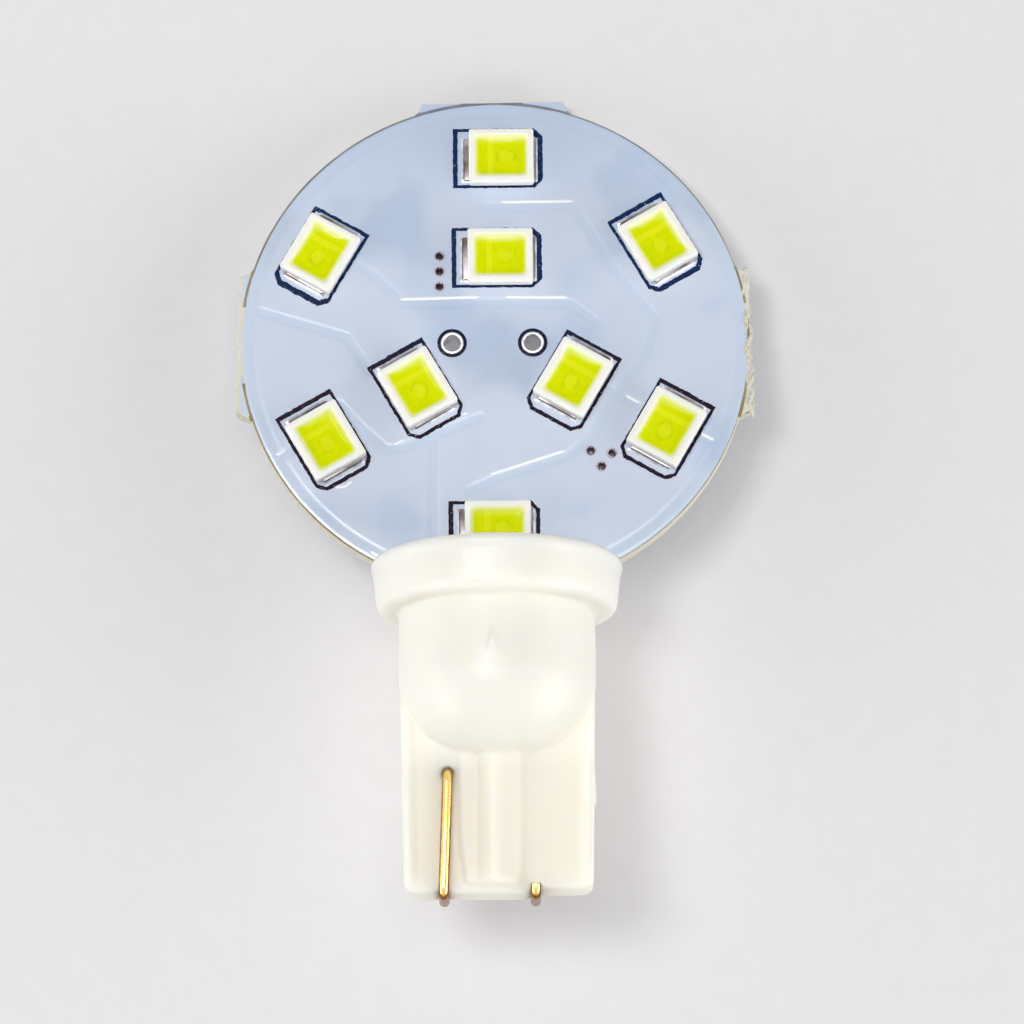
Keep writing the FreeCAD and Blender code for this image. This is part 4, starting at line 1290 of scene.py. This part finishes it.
def makeLeaded(name, part, place):
    span, width, out = part["span"], part["leadWidth"], part["reach"]
    seam = caseLift + (part["height"] - caseLift) * 0.45
    makeLeadedCase(name, part, seam, place)
    spots = [((middle, side * span / 2, 0), 0 if side > 0 else 180)
             for side, middle in part["leads"]]
    finishPiece(f"{name}Leads", copiesOf(gullWing(part, seam), spots, tinPlate), tinPlate,
                "part_lead", [f"{part['node']}_leads"], 40, place)
    # solder that wets each foot
    reach, beside = 0.35, 0.2

    def height(x, y):
        side = max(0.0, (abs(x) - width / 2) / beside)
        tip = max(0.0, (y - out) / reach)
        heel = max(0.0, (out - 0.4 - y) / 0.15)
        return 0.012 + 0.13 * max(0.0, 1 - max(side, tip, heel)) ** 2.2

    bm = bmesh.new()
    heightSolid(bm, spread(-width / 2 - beside, width / 2 + beside, 16),
                spread(out - 0.55, out + reach, 20), height)
    return copiesOf(meshOf(bm), spots, solderAlloy)


def endFillets(near, far, steps, halfWide, height):
    # solder at both ends of a part
    bm = bmesh.new()
    for sign in (-1, 1):
        heightSolid(bm, [sign * x for x in spread(near, far, steps)],
                    spread(-halfWide, halfWide, 16), height)
    return meshOf(bm)


def makeChip(name, part, place):
    length, width, height, end = part["length"], part["width"], part["height"], part["end"]
    half, middle = length / 2 - end, height / 2
    glaze, slotName = ((mouldedEpoxy, "black_epoxy") if name == "senseResistor"
                       else (ceramicTan, "capacitor_ceramic"))
    body = skinned([endLoop(x, width / 2 - 0.02, 0.07, middle, middle - 0.02)
                    for x in spread(-half - 0.05, half + 0.05, 8)])
    finishPiece(f"{name}Body", body, glaze, slotName, [f"{part['node']}_body"], place=place)
    steps = ((0, 0.03), (0.03, 0.004), (end * 0.5, 0.0), (end - 0.09, 0.006),
             (end - 0.03, 0.03), (end, 0.09))
    caps = skinned(*([endLoop(sign * (half + out), width / 2 - inset, 0.1, middle,
                              middle - inset, 5) for out, inset in steps] for sign in (-1, 1)))
    finishPiece(f"{name}Ends", caps, tinPlate, "part_lead", [f"{part['node']}_ends"], 60,
                place)
    reach, tall = 0.4, min(0.6, height * 0.7)

    def climb(x, y):
        tip = max(0.0, (abs(x) - length / 2) / reach)
        side = max(0.0, (abs(y) - width / 2 + 0.15) / 0.27)
        return 0.01 + tall * max(0.0, 1 - tip) ** 2.6 * max(0.0, 1 - side ** 2)

    return endFillets(length / 2 - 0.1, length / 2 + reach, 20, width / 2 + 0.12, climb)


def wound(part):
    # a close helix on a hub that fills the space behind it
    wire, radius = part["wire"], (part["wound"] - part["wire"]) / 2
    room = part["height"] - 2 * part["flange"] - wire
    tree, given = openTree("windWire", {
        "Seat": "Geometry", "Turns": "Float", "Radius": "Float", "Length": "Float",
        "Wire radius": "Float", "Finish": "Material"})
    helix = add(tree, "GeometryNodeCurveSpiral",
                {"Resolution": 44, "Rotations": given["Turns"], "Start Radius": given["Radius"],
                 "End Radius": given["Radius"], "Height": given["Length"]})
    section = add(tree, "GeometryNodeCurvePrimitiveCircle",
                  {"Resolution": 8, "Radius": given["Wire radius"]})
    tube = add(tree, "GeometryNodeCurveToMesh", {"Curve": helix.outputs[0],
                                                 "Profile Curve": section.outputs[0],
                                                 "Fill Caps": True})
    both = add(tree, "GeometryNodeJoinGeometry", {0: given["Seat"]})
    tree.links.new(tube.outputs[0], both.inputs[0])
    closeTree(tree, both.outputs[0], given["Finish"])
    hub = skinned(turned(((radius, 0.01 - wire / 2), (radius, room + wire / 2 - 0.01))))
    mesh = runTree(tree, hub, {"Turns": room / wire, "Radius": radius, "Length": room,
                               "Wire radius": wire / 2, "Finish": enamelCopper})
    mesh.transform(Matrix.Translation((0, 0, part["flange"] + wire / 2)))
    return mesh


def makeCoil(name, part, place):
    rim, hub, flange, height = part["core"] / 2, part["hub"], part["flange"], part["height"]
    profile = ((0.02, 0.0), (rim - 0.06, 0.0), (rim, 0.06), (rim, flange - 0.05),
               (rim - 0.05, flange), (hub, flange + 0.01), (hub, height - flange - 0.01),
               (rim - 0.05, height - flange), (rim, height - flange + 0.05),
               (rim, height - 0.06), (rim - 0.06, height), (0.6, height),
               (0.52, height - 0.04), (0.02, height - 0.04))
    finishPiece(f"{name}Core", skinned(turned(profile, 72)), ferriteGrey, "ferrite",
                [f"{name}_core"], 35, place)
    finishPiece(f"{name}Winding", wound(part), enamelCopper, "copper_winding",
                [f"{name}_winding"], 60, place)
    halfWide = 0.8

    def climb(x, y):
        out = max(0.0, (abs(x) - rim + 0.05) / 0.45)
        return 0.012 + 0.4 * max(0.0, 1 - out) ** 2.2 * max(0.0, 1 - (y / halfWide) ** 4)

    return endFillets(rim - 0.35, rim + 0.4, 16, halfWide, climb)


def makeRearParts():
    makers = {"leaded": makeLeaded, "chip": makeChip, "coil": makeCoil}
    wetted = bmesh.new()
    for name, part in rearParts.items():
        mesh = makers[part["kind"]](name, part, boardPlace @ rearPlace(part))
        mesh.transform(rearPlace(part))
        wetted.from_mesh(mesh)
    finishPiece("rearSolder", meshOf(wetted), solderAlloy, "solder", sharp=60)


makeRearParts()
print("rear parts made")


# Floor, light and world
studio = {"floor": "#E1DFDF", "tooth": "#E7E6E7", "backdrop": "#E5E5E6", "tent": "#F8F7F7",
          "floorGlow": 0.25, "farGlow": 0.96, "glowRange": (0.05, 0.3), "floorRadius": 1.5,
          "topLevel": 0.05, "sideLevel": 0.28, "sideRange": (0.35, 0.85),
          "lamps": {
              # direction from the bulb, distance, size across and up in m, radiance
              "topBox": ((0.0, 0.17, 0.985), 0.55, 0.27, 0.17, 4.0),
              "keyBox": ((-0.31, 0.2, 0.93), 0.35, 0.09, 0.09, 18.5),
              "leftBox": ((-0.88, -0.25, 0.4), 0.5, 0.5, 0.3, 1.5),
              "rightBox": ((0.88, -0.25, 0.4), 0.5, 0.5, 0.3, 2.5),
              "lowLeft": ((-0.8, -0.52, 0.3), 0.25, 0.16, 0.07, 3.5),
              "lowRight": ((0.8, -0.52, 0.3), 0.25, 0.16, 0.07, 4.0)}}


def makeFloor():
    # plain matt card with a faint tooth
    look = startLook("mattCard", {"Specular IOR Level": 0.1})
    tooth = look.clouds(1.2, 4.0)
    material = look.finish(look.mix(tooth, studio["floor"], studio["tooth"]), tooth,
                           (0.85, 0.98))
    glow = add(look.tree, "ShaderNodeEmission", {"Color": linear(studio["backdrop"]),
                                                 "Strength": 1.0})
    # the card runs out into a pale backdrop well outside the photograph's frame
    far = look.ramp(look.vector("LENGTH", look.place), *studio["glowRange"],
                    studio["floorGlow"], studio["farGlow"], soft=True)
    share = look.calc("MULTIPLY", look.seenBy("Camera", "Glossy", "Transmission"), far)
    both = add(look.tree, "ShaderNodeMixShader", {0: share, 1: look.shader.outputs[0],
                                                  2: glow.outputs[0]})
    final = [node for node in look.tree.nodes if node.type == "OUTPUT_MATERIAL"][0]
    look.tree.links.new(both.outputs[0], final.inputs["Surface"])
    bm = bmesh.new()
    bm.faces.new([bm.verts.new(point) for point in circleLoop(studio["floorRadius"], 0, 64)])
    mesh = meshOf(bm, "floor")
    mesh.materials.append(material)
    if mesh.polygons[0].normal.z < 0:
        mesh.flip_normals()
    newObject(mesh, "floor")


def makeLamps():
    for name, (way, distance, wide, tall, radiance) in studio["lamps"].items():
        data = bpy.data.lights.new(name, "AREA")
        data.shape, data.size, data.size_y = "RECTANGLE", wide, tall
        data.energy = radiance * wide * tall * math.pi
        lamp = bpy.data.objects.new(name, data)
        backwards = Vector(way).normalized()
        lamp.matrix_world = (Matrix.Translation(backwards * distance)
                             @ backwards.to_track_quat("Z", "Y").to_matrix().to_4x4())
        bpy.context.scene.collection.objects.link(lamp)


def makeWorld():
    # a white tent: bright low down at the sides, dim overhead
    world = bpy.data.worlds.new("studio")
    bpy.context.scene.world = world
    world.use_nodes = True
    look = Look(world.node_tree)
    look.tree.nodes.clear()
    way = add(look.tree, "ShaderNodeTexCoord").outputs["Generated"]
    out = look.vector("LENGTH", look.vector("MULTIPLY", way, (1.0, 0.6, 0.0)))
    level = look.ramp(out, *studio["sideRange"], studio["topLevel"], studio["sideLevel"],
                      soft=True)
    tent = add(look.tree, "ShaderNodeBackground", {"Color": linear(studio["tent"]),
                                                   "Strength": level})
    plain = add(look.tree, "ShaderNodeBackground", {"Color": linear(studio["backdrop"]),
                                                    "Strength": 1.0})
    both = add(look.tree, "ShaderNodeMixShader", {0: look.seenBy("Camera", "Glossy"),
                                                  1: tent.outputs[0], 2: plain.outputs[0]})
    add(look.tree, "ShaderNodeOutputWorld", {"Surface": both.outputs[0]})


makeFloor()
makeLamps()
makeWorld()
bpy.context.scene.view_settings.view_transform = "Standard"
